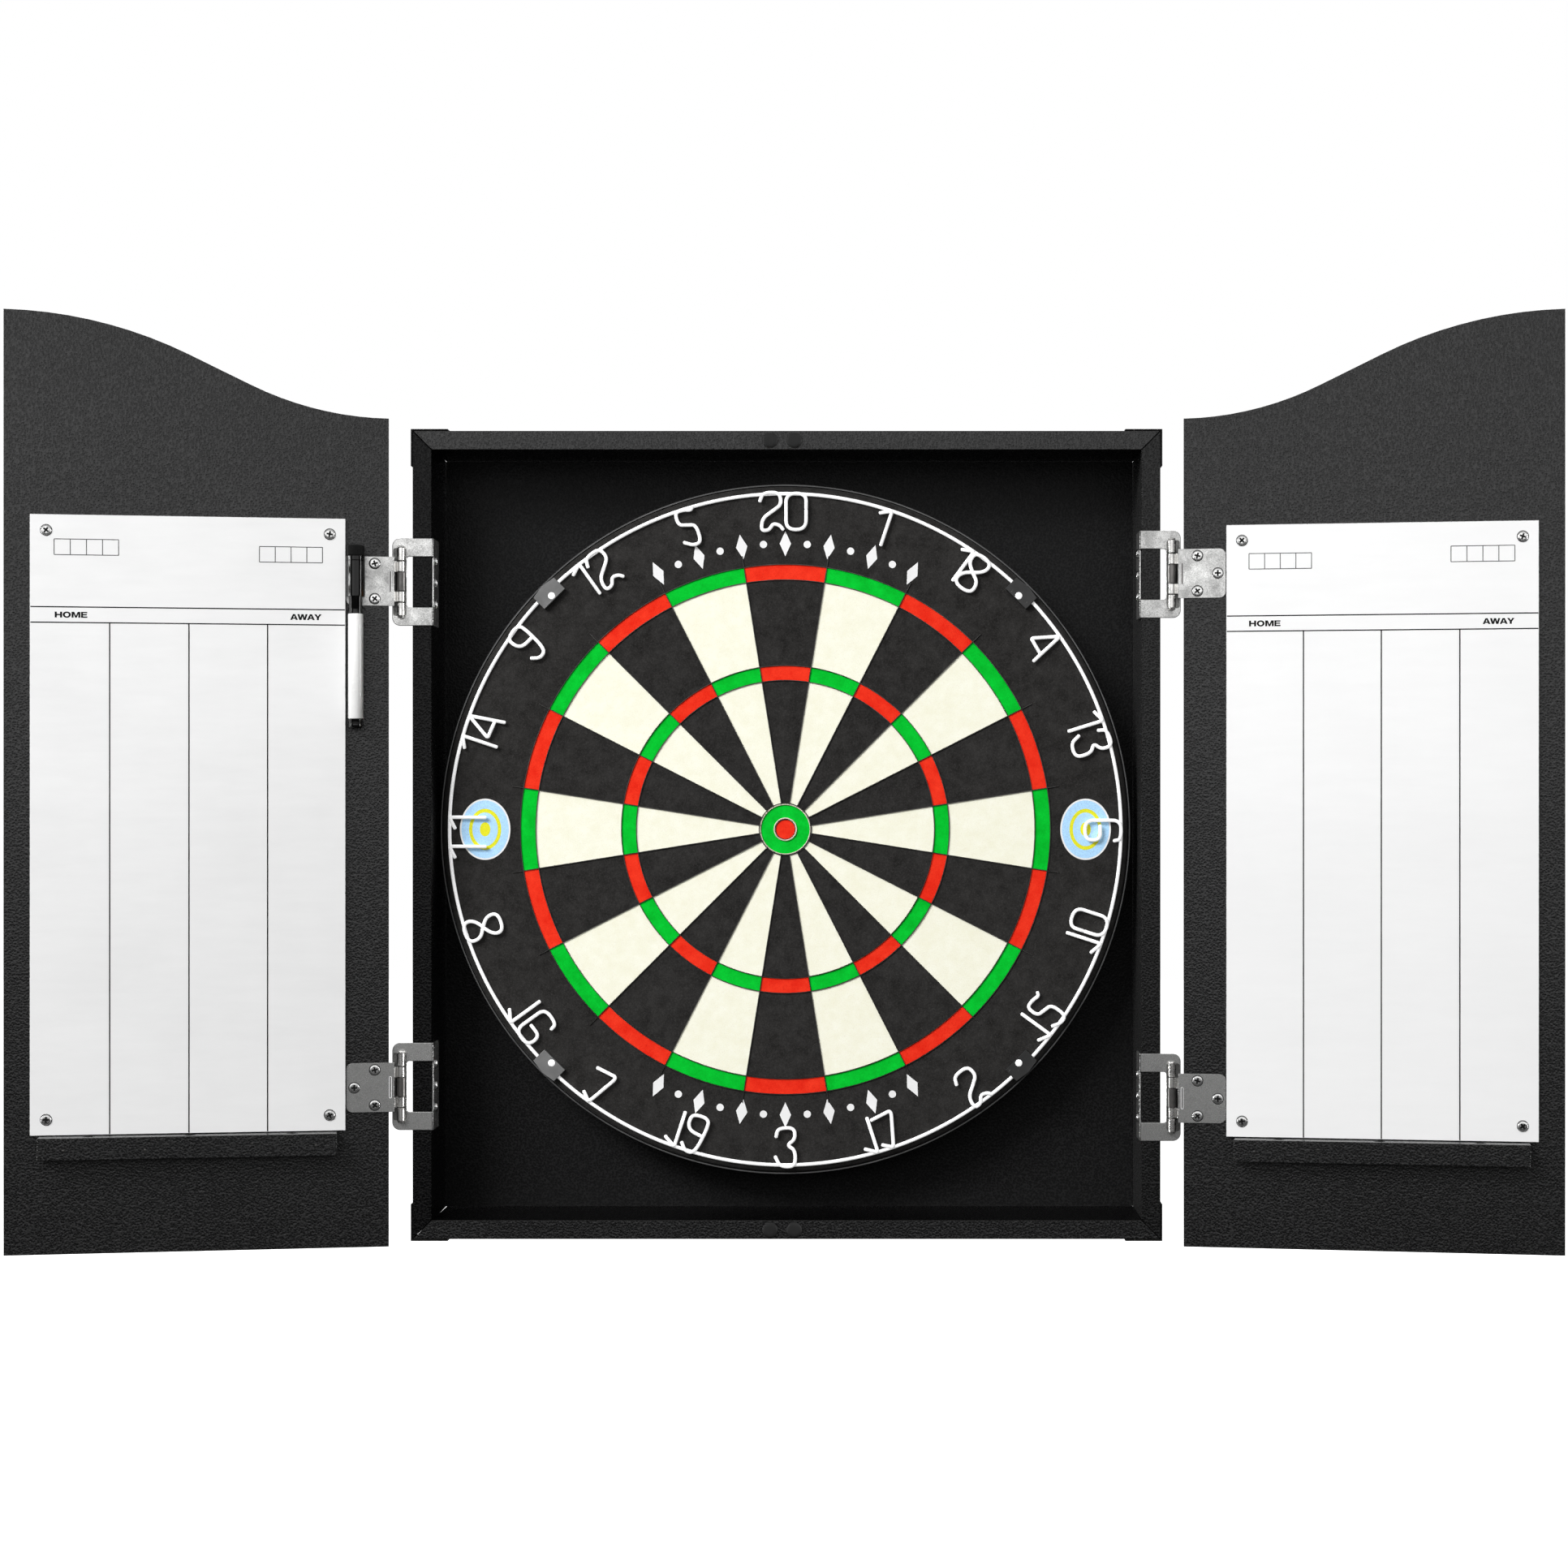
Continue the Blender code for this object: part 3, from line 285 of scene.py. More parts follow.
LOOKS = {
    "hardboard": hardboard("hardboard_rear"),
    "black_wrap": film("black_film", (0.0002, 0.0002, 0.0003), (0.0165, 0.0165, 0.0168), 0.52),
    "wrap_edge": film("black_film_edge", neutral(0.002), (0.016, 0.0155, 0.015), 0.5, 0.6),
    # The box's sides and inner walls get copies of the same film that differ only by painted light and
    # shade: wrap_side and wall are darker (painted shade), wrap_side_lit and wall_lit lighter (painted
    # light).
    "wrap_side": film("black_film_side_painted_shade", (0.0002, 0.0002, 0.0003), (0.006, 0.006, 0.0062), 0.15),
    "wrap_side_lit": film("black_film_side_painted_light", neutral(0.001), (0.013, 0.013, 0.0132), 0.3),
    "wall": film("black_film_wall_painted_shade", neutral(0.0002), (0.0024, 0.0024, 0.0025), 0.1, 0.8),
    "wall_lit": film("black_film_wall_painted_light", neutral(0.02), neutral(0.045), 0.35, 0.8),
    # The back panel's face: a lighter copy of the film, painted light that lifts the board's shadow on it.
    "interior": film("black_film_interior_painted_light", (0.0075, 0.0075, 0.0077), (0.016, 0.016, 0.0162), 0.07, 0.8),
    "guard_black": painted("guard_paint", neutral(0.003), neutral(0.01), 0.42, 0.05, 0, 0.2),
    "pad_rubber": plastic("pad_rubber", neutral(0.006), neutral(0.013), 0.6, 0.4),
    "zinc_steel": metal("zinc_plate", (0.36, 0.36, 0.37), (0.6, 0.6, 0.61), 0.36),
    # Both doors carry the same white board; the left one's darker tone is painted shade.
    "scoreboard_left": gloss_board("scoreboard_gloss_left_painted_shade", neutral(0.84), neutral(0.78)),
    "scoreboard_right": gloss_board("scoreboard_gloss_right", neutral(0.92), neutral(0.88)),
    "scoreboard_edge": plastic("scoreboard_cut_edge", neutral(0.55), neutral(0.75), 0.5, 0.4),
    "screw_black": metal("screw_oxide", neutral(0.03), (0.14, 0.135, 0.13), 0.3, 0.6),
    "screw_zinc": metal("screw_bright", neutral(0.62), (0.97, 0.97, 0.96), 0.22, 0.6),
    "hinge_nickel": metal("hinge_nickel", (0.34, 0.34, 0.335), (0.8, 0.8, 0.79), 0.25, metallic=0.88),
    # A darker copy of the hinge nickel, for painted shade on the leaves' webs.
    "hinge_shade": metal("hinge_shade", neutral(0.05), (0.3, 0.3, 0.29), 0.4),
    # A brighter copy of the hinge nickel for the knuckles and rivets: painted highlight.
    "hinge_bright": metal("hinge_bright", (0.6, 0.59, 0.57), (0.97, 0.96, 0.94), 0.24, 0.5),
    "spring_steel": metal("spring_steel", neutral(0.1), (0.26, 0.25, 0.24), 0.34, 0.5, (1, 1, 0.1)),
    "board_wood": chipboard("board_chip"),
    "sisal_black": sisal("sisal_black", (0.009, 0.0085, 0.008), (0.038, 0.0365, 0.0355),
                         (0.056, 0.054, 0.052)),
    "sisal_cream": sisal("sisal_cream", (0.9, 0.885, 0.7), (1.0, 1.0, 0.88), (0.8, 0.75, 0.58)),
    "sisal_red": sisal("sisal_red", (0.74, 0.01, 0.003), (1.0, 0.056, 0.022), (0.55, 0.008, 0.003)),
    "sisal_green": sisal("sisal_green", (0.0, 0.38, 0.016), (0.002, 0.7, 0.044), (0.0, 0.3, 0.012)),
    "band_black": painted("band_paint", neutral(0.05), neutral(0.1), 0.32, 0.04),
    "spider_steel": metal("spider_wire", (0.05, 0.05, 0.048), (0.17, 0.165, 0.16), 0.38, 0.5),
    "bull_wire": plastic("bull_wire", (0.56, 0.52, 0.42), (0.8, 0.76, 0.64), 0.34, 0.2),
    # The number wires glow faintly: painted light.
    "number_white": plastic("number_enamel", neutral(0.93), neutral(1.0), 0.3, 0.1, painted_glow=0.3),
    # One clip paint in two tones: the lighter copy on the left clips is painted light, the darker one on the
    # right painted shade.
    "clip_grey": painted("clip_grey", neutral(0.16), neutral(0.24), 0.42, 0.03, 0.3),
    "clip_dark": painted("clip_dark", neutral(0.026), neutral(0.045), 0.42, 0.03, 0.3),
    # The clip nails' heads glow faintly: painted light.
    "nail_white": plastic("nail_enamel", neutral(0.9), neutral(1.0), 0.3, 0.1, painted_glow=0.2),
    "marker_black": plastic("marker_black", neutral(0.0008), neutral(0.002), 0.06, 0.02, 0, 0.32),
    "marker_white": plastic("marker_white", (0.84, 0.84, 0.83), (0.92, 0.92, 0.91), 0.24, 0.05, 0.3),
    "marker_felt": sisal("marker_felt", neutral(0.003), neutral(0.009), neutral(0.02)),
    "ink_black": ink("ink_black", neutral(0.004)),
    "ink_grey": ink("ink_grey", neutral(0.06)),
    "print_white": plastic("print_white", neutral(0.84), neutral(0.92), 0.5, 0.1),
    "badge_blue": ink("badge_blue", (0.36, 0.58, 0.8)),
    "badge_yellow": ink("badge_yellow", (0.64, 0.62, 0.02)),
}


# Making pieces


def added(name, work, looks, body, slot, stands_for=(), bevel=0.0, smooth=True, segments=2):
    """The bmesh as a piece on that body. Edges are rounded by bevel, in metres."""
    bmesh.ops.recalc_face_normals(work, faces=work.faces)
    mesh = bpy.data.meshes.new(name)
    work.to_mesh(mesh)
    work.free()
    for look in [looks] if isinstance(looks, str) else looks:
        mesh.materials.append(LOOKS[look])
    obj = bpy.data.objects.new(name, mesh)
    bpy.context.scene.collection.objects.link(obj)
    if smooth:
        mesh.shade_smooth()
        mesh.set_sharp_from_angle(angle=math.radians(40))
    if bevel:
        rounded(obj, bevel, segments)
    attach(obj, body)
    if stands_for:
        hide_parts(*stands_for)
    return obj


def rounded(obj, width, segments=2, edge_slot=None):
    step = obj.modifiers.new("round", "BEVEL")
    step.width = width
    step.segments = segments
    step.limit_method = "ANGLE"
    step.angle_limit = math.radians(38)
    step.harden_normals = True
    if edge_slot is not None:
        step.material = edge_slot


def dress(node, look, bevel=0.0, edge=None, segments=2):
    """A CAD node with rounded edges and its material, and another on the rounding itself."""
    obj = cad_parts[node]
    mesh = obj.data
    mesh.materials.clear()
    mesh.materials.append(LOOKS[look])
    if edge:
        mesh.materials.append(LOOKS[edge])
    if "custom_normal" in mesh.attributes:
        mesh.attributes.remove(mesh.attributes["custom_normal"])
    mesh.shade_smooth()
    weld = obj.modifiers.new("weld", "WELD")
    weld.merge_threshold = 1e-5
    if bevel:
        rounded(obj, bevel, segments, 1 if edge else None)
    else:
        split = obj.modifiers.new("crisp", "EDGE_SPLIT")
        split.split_angle = math.radians(40)
    return obj


def face_with(obj, look, direction):
    """Another material on the faces that look that way."""
    obj.data.materials.append(LOOKS[look])
    for face in obj.data.polygons:
        if face.normal.dot(Vector(direction)) > 0.5:
            face.material_index = len(obj.data.materials) - 1


def in_mm(*points):
    return [(a * MM, b * MM) for a, b in points]


def closed_between(work, base, top):
    """Two outlines of vertices closed into one body."""
    work.faces.new(base)
    work.faces.new(reversed(top))
    for i in range(len(base)):
        j = (i + 1) % len(base)
        work.faces.new((base[i], base[j], top[j], top[i]))


def prism(work, outline, low, high, lift):
    """A 2-D outline carried from low to high; lift puts (a, b, along) in space."""
    closed_between(work, *([work.verts.new(lift(a, b, level)) for a, b in outline] for level in (low, high)))


def pierced(work, outer, holes, low, high, lift):
    """As prism, for an outline with holes in it."""
    rims = []
    for outline in (outer, *holes):
        verts = [work.verts.new(lift(a, b, low)) for a, b in outline]
        rims += [work.edges.new((verts[i - 1], verts[i])) for i in range(len(verts))]
    faces = [f for f in bmesh.ops.triangle_fill(work, edges=rims, use_beauty=True)["geom"]
             if isinstance(f, bmesh.types.BMFace)]
    moved = bmesh.ops.extrude_face_region(work, geom=faces)["geom"]
    rise = lift(0, 0, high) - lift(0, 0, low)
    bmesh.ops.translate(work, vec=rise, verts=[v for v in moved if isinstance(v, bmesh.types.BMVert)])


def arc(centre, radius, start, end, steps):
    angles = [math.radians(start + (end - start) * i / steps) for i in range(steps + 1)]
    return [(centre[0] + radius * math.cos(a), centre[1] + radius * math.sin(a)) for a in angles]


def loop(centre, radius, steps):
    return arc(centre, radius, 0, 360 - 360 / steps, steps - 1)


def soft_corners(x0, z0, x1, z1, radius, steps=4):
    """A rectangle's outline with rounded corners, from its lower left one."""
    x0, z0, x1, z1 = x0 + radius, z0 + radius, x1 - radius, z1 - radius
    corners = (((x0, z0), 180), ((x1, z0), 270), ((x1, z1), 0), ((x0, z1), 90))
    return [point for centre, start in corners for point in arc(centre, radius, start, start + 90, steps)]


def turned(work, profile, segments, lift, closed=False):
    """A (radius, along) profile spun; lift puts (across, aside, along) in space."""
    columns = []
    for k in range(segments):
        a = math.tau * k / segments
        columns.append([lift(r * math.cos(a), r * math.sin(a), along) for r, along in profile])
    verts = [[work.verts.new(point) for point in column] for column in columns]
    count = len(profile)
    steps = count if closed else count - 1
    for k in range(segments):
        here, following = verts[k], verts[(k + 1) % segments]
        for i in range(steps):
            j = (i + 1) % count
            work.faces.new((here[i], here[j], following[j], following[i]))
    bmesh.ops.remove_doubles(work, verts=[v for column in verts for v in column], dist=2e-6)


def turned_piece(name, profile, segments, lift, *piece):
    """A piece that is one turned profile; piece holds the rest of what added() takes."""
    work = bmesh.new()
    turned(work, profile, segments, lift)
    return added(name, work, *piece)


def wire(work, points, radius, sides=12):
    """A round wire, its ends eased, through points in a plane parallel to the board's face."""
    first, last = points[0] - points[1], points[-1] - points[-2]
    points = [points[0] + first.normalized() * radius * 0.5, *points,
              points[-1] + last.normalized() * radius * 0.5]
    turns = [math.tau * k / sides for k in range(sides)]
    rings = []
    for i, point in enumerate(points):
        before, after = points[max(i - 1, 0)], points[min(i + 1, len(points) - 1)]
        side = (after - before).normalized().cross(OUT_OF_FACE)
        reach = radius if 0 < i < len(points) - 1 else radius * 0.6
        rings.append([work.verts.new(point + reach * (math.cos(a) * side + math.sin(a) * OUT_OF_FACE))
                      for a in turns])
    for ring, following in zip(rings, rings[1:]):
        for k in range(sides):
            n = (k + 1) % sides
            work.faces.new((ring[k], ring[n], following[n], following[k]))
    work.faces.new(rings[0])
    work.faces.new(reversed(rings[-1]))


def bent(points, ease, steps=7):
    """Points along a wire bent at each inner point; ease 0.5 is one flowing curve, less is tighter."""
    path = [points[0]]
    for before, point, after in zip(points, points[1:], points[2:]):
        start, end = point.lerp(before, ease), point.lerp(after, ease)
        for i in range(steps + 1):
            t = i / steps
            path.append(start.lerp(point, t).lerp(point.lerp(end, t), t))
    path.append(points[-1])
    return [p for i, p in enumerate(path) if i == 0 or (p - path[i - 1]).length > 1e-5]


# Places


def on_board(radius, degrees, out=0.0):
    """A point on the board's face; degrees run clockwise from the top, out is towards the viewer."""
    a = math.radians(degrees)
    return Vector((BOARD_X + radius * math.sin(a), BOARD_FACE - out, BOARD_Z + radius * math.cos(a)))


def board_lift(x, z, along):
    """Space for pieces turned round the board's axis; along is y."""
    return Vector((BOARD_X + x, along, BOARD_Z + z))


def door_frame(side):
    """From the shut door's frame round its pin to its place when open."""
    return Matrix.Translation((side * PIN_X, PIN_Y, 0)) @ Matrix.Rotation(side * DOOR_OPEN, 4, "Z")


def door_lift(side):
    """Space for pieces on a door: (distance from its hinge edge, height, distance off its inner face)."""
    matrix = door_frame(side)
    return lambda edge, z, out: matrix @ Vector((-side * (DOOR_EDGE + edge), DOOR_FACE + out, z))


def pin_lift(side, height):
    """Space round a hinge pin on the box: (outwards, towards the viewer, up)."""
    return lambda out, near, up: Vector((side * (PIN_X + out), PIN_Y - near, height + up))


def door_pin_lift(side, height):
    """The same on the door, in the shut door's frame."""
    matrix = door_frame(side)
    return lambda out, far, up: matrix @ Vector((side * out, far, height + up))


# Screws and nails


def cross_recess(work, lift, reach, half, top, depth):
    """A black cross set into a screw's head, its top just clear of the head: painted shade in the cross
    recess.
    """
    outline = [(half, half), (half, reach), (-half, reach), (-half, half), (-reach, half), (-reach, -half),
               (-half, -half), (-half, -reach), (half, -reach), (half, -half), (reach, -half),
               (reach, half)]
    prism(work, outline, top - depth, top, lift)


def screw_head(name, place, body, slot, look, radius, rise, turn):
    """A cross-head screw with a black ring round it, painted shade in its countersink. place(across, aside,
    out) is its spot.
    """
    spin = math.radians(turn)

    def lift(x, z, out):
        return place(x * math.cos(spin) - z * math.sin(spin), x * math.sin(spin) + z * math.cos(spin), out)

    work = bmesh.new()
    sunk, proud, recess = -0.2 * MM, 0.03 * MM, 0.25 * MM
    dome = [(radius * share, rise * part) for share, part in
            ((1, 0.2), (0.97, 0.5), (0.88, 0.8), (0.74, 0.96), (0.5, 1), (0, 1))]
    turned(work, [(0, sunk), (radius * 0.97, sunk), *dome], 28, lift)
    head_faces = set(work.faces)
    # A black ring round the head: painted shade in the countersink.
    inner, outer = radius - 0.05 * MM, radius + 0.4 * MM
    turned(work, [(inner, sunk), (outer, sunk), (outer, proud), (inner, proud)], 28, lift, closed=True)
    cross_recess(work, lift, radius * 0.6, radius * 0.17, rise + proud, recess)
    for face in work.faces:
        face.material_index = 0 if face in head_faces else 1
    return added(name, work, (look, "ink_black"), body, slot)


def nail(name, place, body, slot, look, radius, rise):
    profile = [(0, -0.1 * MM), (radius * 0.9, -0.1 * MM), (radius, rise * 0.3), (radius * 0.8, rise * 0.8),
               (radius * 0.4, rise), (0, rise)]
    return turned_piece(name, profile, 20, place, look, body, slot)


def spot(lift, a, b, out):
    """A place function round one spot of a larger place function."""
    return lambda across, aside, rise: lift(a + across, b + aside, out + rise)


# The box


def build_box():
    # One black film covers every panel. The left side and the left, top and bottom inner walls get darker
    # copies (painted shade); the right side and its inner wall get lighter copies (painted light).
    panels = {"side_panel_left": ("wrap_side", "wrap_side", "wall", (1, 0, 0)),
              "side_panel_right": ("wrap_side_lit", "wrap_side_lit", "wall_lit", (-1, 0, 0)),
              "top_panel": ("black_wrap", "wrap_edge", "wall", (0, 0, -1)),
              "bottom_panel": ("black_wrap", "wrap_edge", "wall", (0, 0, 1))}
    for node, (look, edge, inner, inward) in panels.items():
        face_with(dress(node, look, 0.35 * MM, edge), inner, inward)
    # The back panel's face gets the lighter interior copy of the film: painted light against the board's
    # shadow.
    face_with(dress("back_panel", "interior", 0.05 * MM), "hardboard", (0, 1, 0))
    for side in SIDES:
        dress(f"keyhole_plate_{side}", "zinc_steel", 0.2 * MM)
        for end in ENDS:
            dress(f"corner_guard_{end}_{side}", "guard_black", 0.3 * MM)
    dress("board_bracket", "zinc_steel", 0.25 * MM)
    dress("board_spigot", "zinc_steel", 0.2 * MM)
    build_pads()
    build_guard_nails()


def build_pads():
    for side in SIDES:
        for end in ENDS:
            node = f"buffer_pad_{end}_{side}"
            low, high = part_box(node)
            middle = (low + high) / 2

            def lift(x, z, out, middle=middle, back=high.y):
                return Vector((middle.x + x, back - out, middle.z + z))

            profile = in_mm((0, 0), (4.9, 0), (5, 0.5), (4.85, 1.0), (4.5, 1.35), (3.6, 1.6),
                            (2.0, 1.7), (0, 1.65))
            turned_piece(f"buffer_{end}_{side}", profile, 40, lift,
                         "pad_rubber", "cabinet", "pad_rubber", [node])


def build_guard_nails():
    """Two nails in the outer faces of each guard, one on each leg."""
    reach_x, reach_z = BOX_HALF[0] + 1.3 * MM, BOX_HALF[1] + 1.3 * MM
    for name, side in SIDES.items():
        for end, sign in (("top", 1), ("bottom", -1)):
            def beside(a, b, out, side=side, sign=sign):
                return Vector((side * (reach_x + out), FRONT + 12 * MM + a, sign * (reach_z - 17 * MM) + b))

            def above(a, b, out, side=side, sign=sign):
                return Vector((side * (reach_x - 17 * MM) + a, FRONT + 12 * MM + b, sign * (reach_z + out)))

            for leg, place in (("side", beside), ("end", above)):
                nail(f"guard_nail_{end}_{name}_{leg}", place, "cabinet", "guard_black", "guard_black",
                     1.9 * MM, 0.7 * MM)


# Hinges


def build_hinges():
    for name, side in SIDES.items():
        for end in ENDS:
            height = HINGE_HEIGHTS[name][end]
            label = f"hinge_{end}_{name}"
            build_frame_leaf(label, side, height)
            build_door_leaf(label, name, side, height)
            build_pin(label, side, height)


def build_frame_leaf(label, side, height):
    lift = pin_lift(side, height)
    inner, wing = -19.3 * MM, 1.2 * MM
    half, window, tip, web = 28.15 * MM, 16.3 * MM, 6 * MM, -3.3 * MM
    near, far = -2.3 * MM, -3.4 * MM
    corner = 5 * MM
    work = bmesh.new()
    cheek = ([(inner - wing, -half)] + arc((tip - corner, -half + corner), corner, 270, 360, 6)
             + arc((tip - corner, half - corner), corner, 0, 90, 6)
             + [(inner - wing, half), (inner - wing, window), (web - 1 * MM, window),
                (web, window - 1 * MM), (web, -window + 1 * MM), (web - 1 * MM, -window),
                (inner - wing, -window)])
    prism(work, cheek, far, near, lambda a, b, y: lift(a, y, b))
    fold = [(near, half), (near, window), (-4.4 * MM, window - 0.5 * MM), (-4.4 * MM, -window + 0.5 * MM),
            (near, -window), (near, -half), (-27.7 * MM, -half), (-27.7 * MM, half)]
    prism(work, fold, inner - wing, inner, lambda y, b, a: lift(a, y, b))
    added(f"{label}_leaf_box", work, "hinge_nickel", "cabinet", "hinge_nickel",
          [f"{label}_frame_leaf"], 0.42 * MM)
    # A thin dark plate over the leaf's web: painted shade where the web lies behind the knuckles.
    work = bmesh.new()
    shade = soft_corners(-3.1 * MM, -21.8 * MM, 5.4 * MM, 21.8 * MM, 1.5 * MM)
    prism(work, shade, near - 0.1 * MM, near + 0.08 * MM, lambda a, b, y: lift(a, y, b))
    added(f"{label}_web_painted_shade", work, "hinge_shade", "cabinet", "hinge_nickel")
    work = bmesh.new()
    # The knuckles take the brighter copy of the nickel: painted highlight.
    for low, high in ((13.6 * MM, 22 * MM), (-22 * MM, -13.6 * MM)):
        sleeve(work, low, high, lift)
    added(f"{label}_knuckles_box", work, "hinge_bright", "cabinet", "hinge_nickel")
    row = -13 * MM
    for k, up in enumerate((-14 * MM, 0, 14 * MM)):
        def place(a, b, out, up=up):
            return lift(inner - wing - out, row + a, up + b)

        screw_head(f"{label}_box_screw_{k + 1}", place, "cabinet", "hinge_nickel", "screw_zinc",
                   2.9 * MM, 1.5 * MM, 20 + 31 * k)


def sleeve(work, low, high, lift):
    outer, inner, ease = 2.6 * MM, 1.65 * MM, 0.3 * MM
    profile = [(inner, low), (outer - ease, low), (outer, low + ease), (outer, high - ease),
               (outer - ease, high), (inner, high)]
    turned(work, profile, 32, lift, closed=True)


def build_door_leaf(label, name, side, height):
    body = f"door_{name}"
    lift = door_pin_lift(side, height)
    near, far, half, corner = -4.3 * MM, -34.7 * MM, 15.8 * MM, 4 * MM
    outline = [(near, -half), (near, half)]
    outline += arc((far + corner, half - corner), corner, 90, 180, 6)
    outline += arc((far + corner, -half + corner), corner, 180, 270, 6)
    slot = soft_corners(-7.6 * MM, -7.0 * MM, -6.0 * MM, 7.0 * MM, 0.5 * MM, 2)
    knuckles = ((-12.9 * MM, -6.3 * MM), (6.3 * MM, 12.9 * MM))
    work = bmesh.new()
    under, over = 1.7 * MM, 2.6 * MM
    pierced(work, outline, [slot], under, over, lambda a, b, y: lift(a, y, b))
    added(f"{label}_leaf_door", work, "hinge_nickel", body, "hinge_nickel",
          [f"{label}_door_leaf"], 0.4 * MM)
    work = bmesh.new()
    jog = [(near - 0.3 * MM, 1.75 * MM), (near - 0.3 * MM, 2.5 * MM), (near, 2.5 * MM),
           *in_mm((-3.5, 1.3), (-2.2, 0.9), (-2.2, 0), (-3.9, 0.4))]
    for low, high in knuckles:
        sleeve(work, low, high, lift)
        prism(work, jog, low, high, lift)
    added(f"{label}_knuckles_door", work, "hinge_bright", body, "hinge_nickel")
    work = bmesh.new()
    curl = arc((0, 0), 3.2 * MM, 35, 325, 30) + arc((0, 0), 2.3 * MM, 325, 35, 30)
    prism(work, curl, -5.9 * MM, 5.9 * MM, lift)
    added(f"{label}_curl", work, "spring_steel", body, "spring_steel", [f"{label}_spring"], 0.12 * MM,
          segments=1)
    work = bmesh.new()
    tail = in_mm((-7.3, 1.2), (-7.3, 2.9), (-6.3, 2.9), (-6.3, 1.2))
    prism(work, tail, -6.7 * MM, 6.7 * MM, lift)
    added(f"{label}_curl_tail", work, "spring_steel", body, "spring_steel", bevel=0.2 * MM)
    for k, (edge, up) in enumerate(((9 * MM, 11.3 * MM), (9 * MM, -11.3 * MM), (22 * MM, 0))):
        def place(a, b, out, edge=edge, up=up):
            return lift(-DOOR_EDGE - edge + a, over + out, up + b)

        screw_head(f"{label}_door_screw_{k + 1}", place, body, "hinge_nickel", "screw_zinc",
                   3.3 * MM, 0.55 * MM, 15 + 38 * k)


def build_pin(label, side, height):
    lift = pin_lift(side, height)
    shank, head, half = 1.5 * MM, 2.3 * MM, 22.3 * MM
    work = bmesh.new()
    for end in (-1, 1):
        profile = [(0, 0), (head, 0), (head * 0.95, 0.6 * MM), (head * 0.6, 0.95 * MM), (0, 1 * MM)]
        turned(work, profile, 28, lambda x, y, up, end=end: lift(x, y, end * (half + up)))
    added(f"{label}_rivet", work, "hinge_bright", "cabinet", "hinge_nickel", [f"{label}_pin"])
    turned_piece(f"{label}_shank", [(0, -half), (shank, -half), (shank, half), (0, half)], 20, lift,
                 "spring_steel", "cabinet", "hinge_nickel")


# Doors


def build_doors():
    for name, side in SIDES.items():
        dress(f"door_panel_{name}", "black_wrap", 0.5 * MM, "wrap_edge")
        dress(f"scoreboard_{name}", f"scoreboard_{name}", 0.25 * MM, "scoreboard_edge", 1)
        dress(f"dart_rack_{name}", "black_wrap", 0.4 * MM, "wrap_edge")
        build_print(name, side)
        build_scoreboard_screws(name, side)
        build_rack_nails(name, side)


def build_scoreboard_screws(name, side):
    body = f"door_{name}"
    lift = door_lift(side)
    top, inset = SCOREBOARD_TOP[name], 10 * MM
    heights = {"top": top - inset, "bottom": top - SCOREBOARD_HEIGHT + inset}
    edges = {"inner": SCOREBOARD_EDGE + inset, "outer": SCOREBOARD_EDGE + SCOREBOARD_WIDTH - inset}
    turn = 10 if name == "left" else 45
    for end, height in heights.items():
        for which, edge in edges.items():
            node = f"scoreboard_screw_{end}_{which}_{name}"
            place = spot(lift, edge, height, SCOREBOARD_FACE + 0.25 * MM)
            screw = screw_head(f"screw_{end}_{which}_{name}", place, body, "screw_black", "screw_zinc",
                               3.3 * MM, 0.9 * MM, turn)
            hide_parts(node)
            turn += 27


def build_rack_nails(name, side):
    lift = door_lift(side)
    front = 17.3 * MM
    middle = SCOREBOARD_TOP[name] - SCOREBOARD_HEIGHT - 7.5 * MM
    for k, (edge, up) in enumerate(((46, -0.5), (86, 1.5), (152, -1.5), (202, -1.0))):
        place = spot(lift, edge * MM, middle + up * MM, front)
        nail(f"rack_nail_{name}_{k + 1}", place, f"door_{name}", "screw_black", "screw_black",
             0.9 * MM, 0.15 * MM)


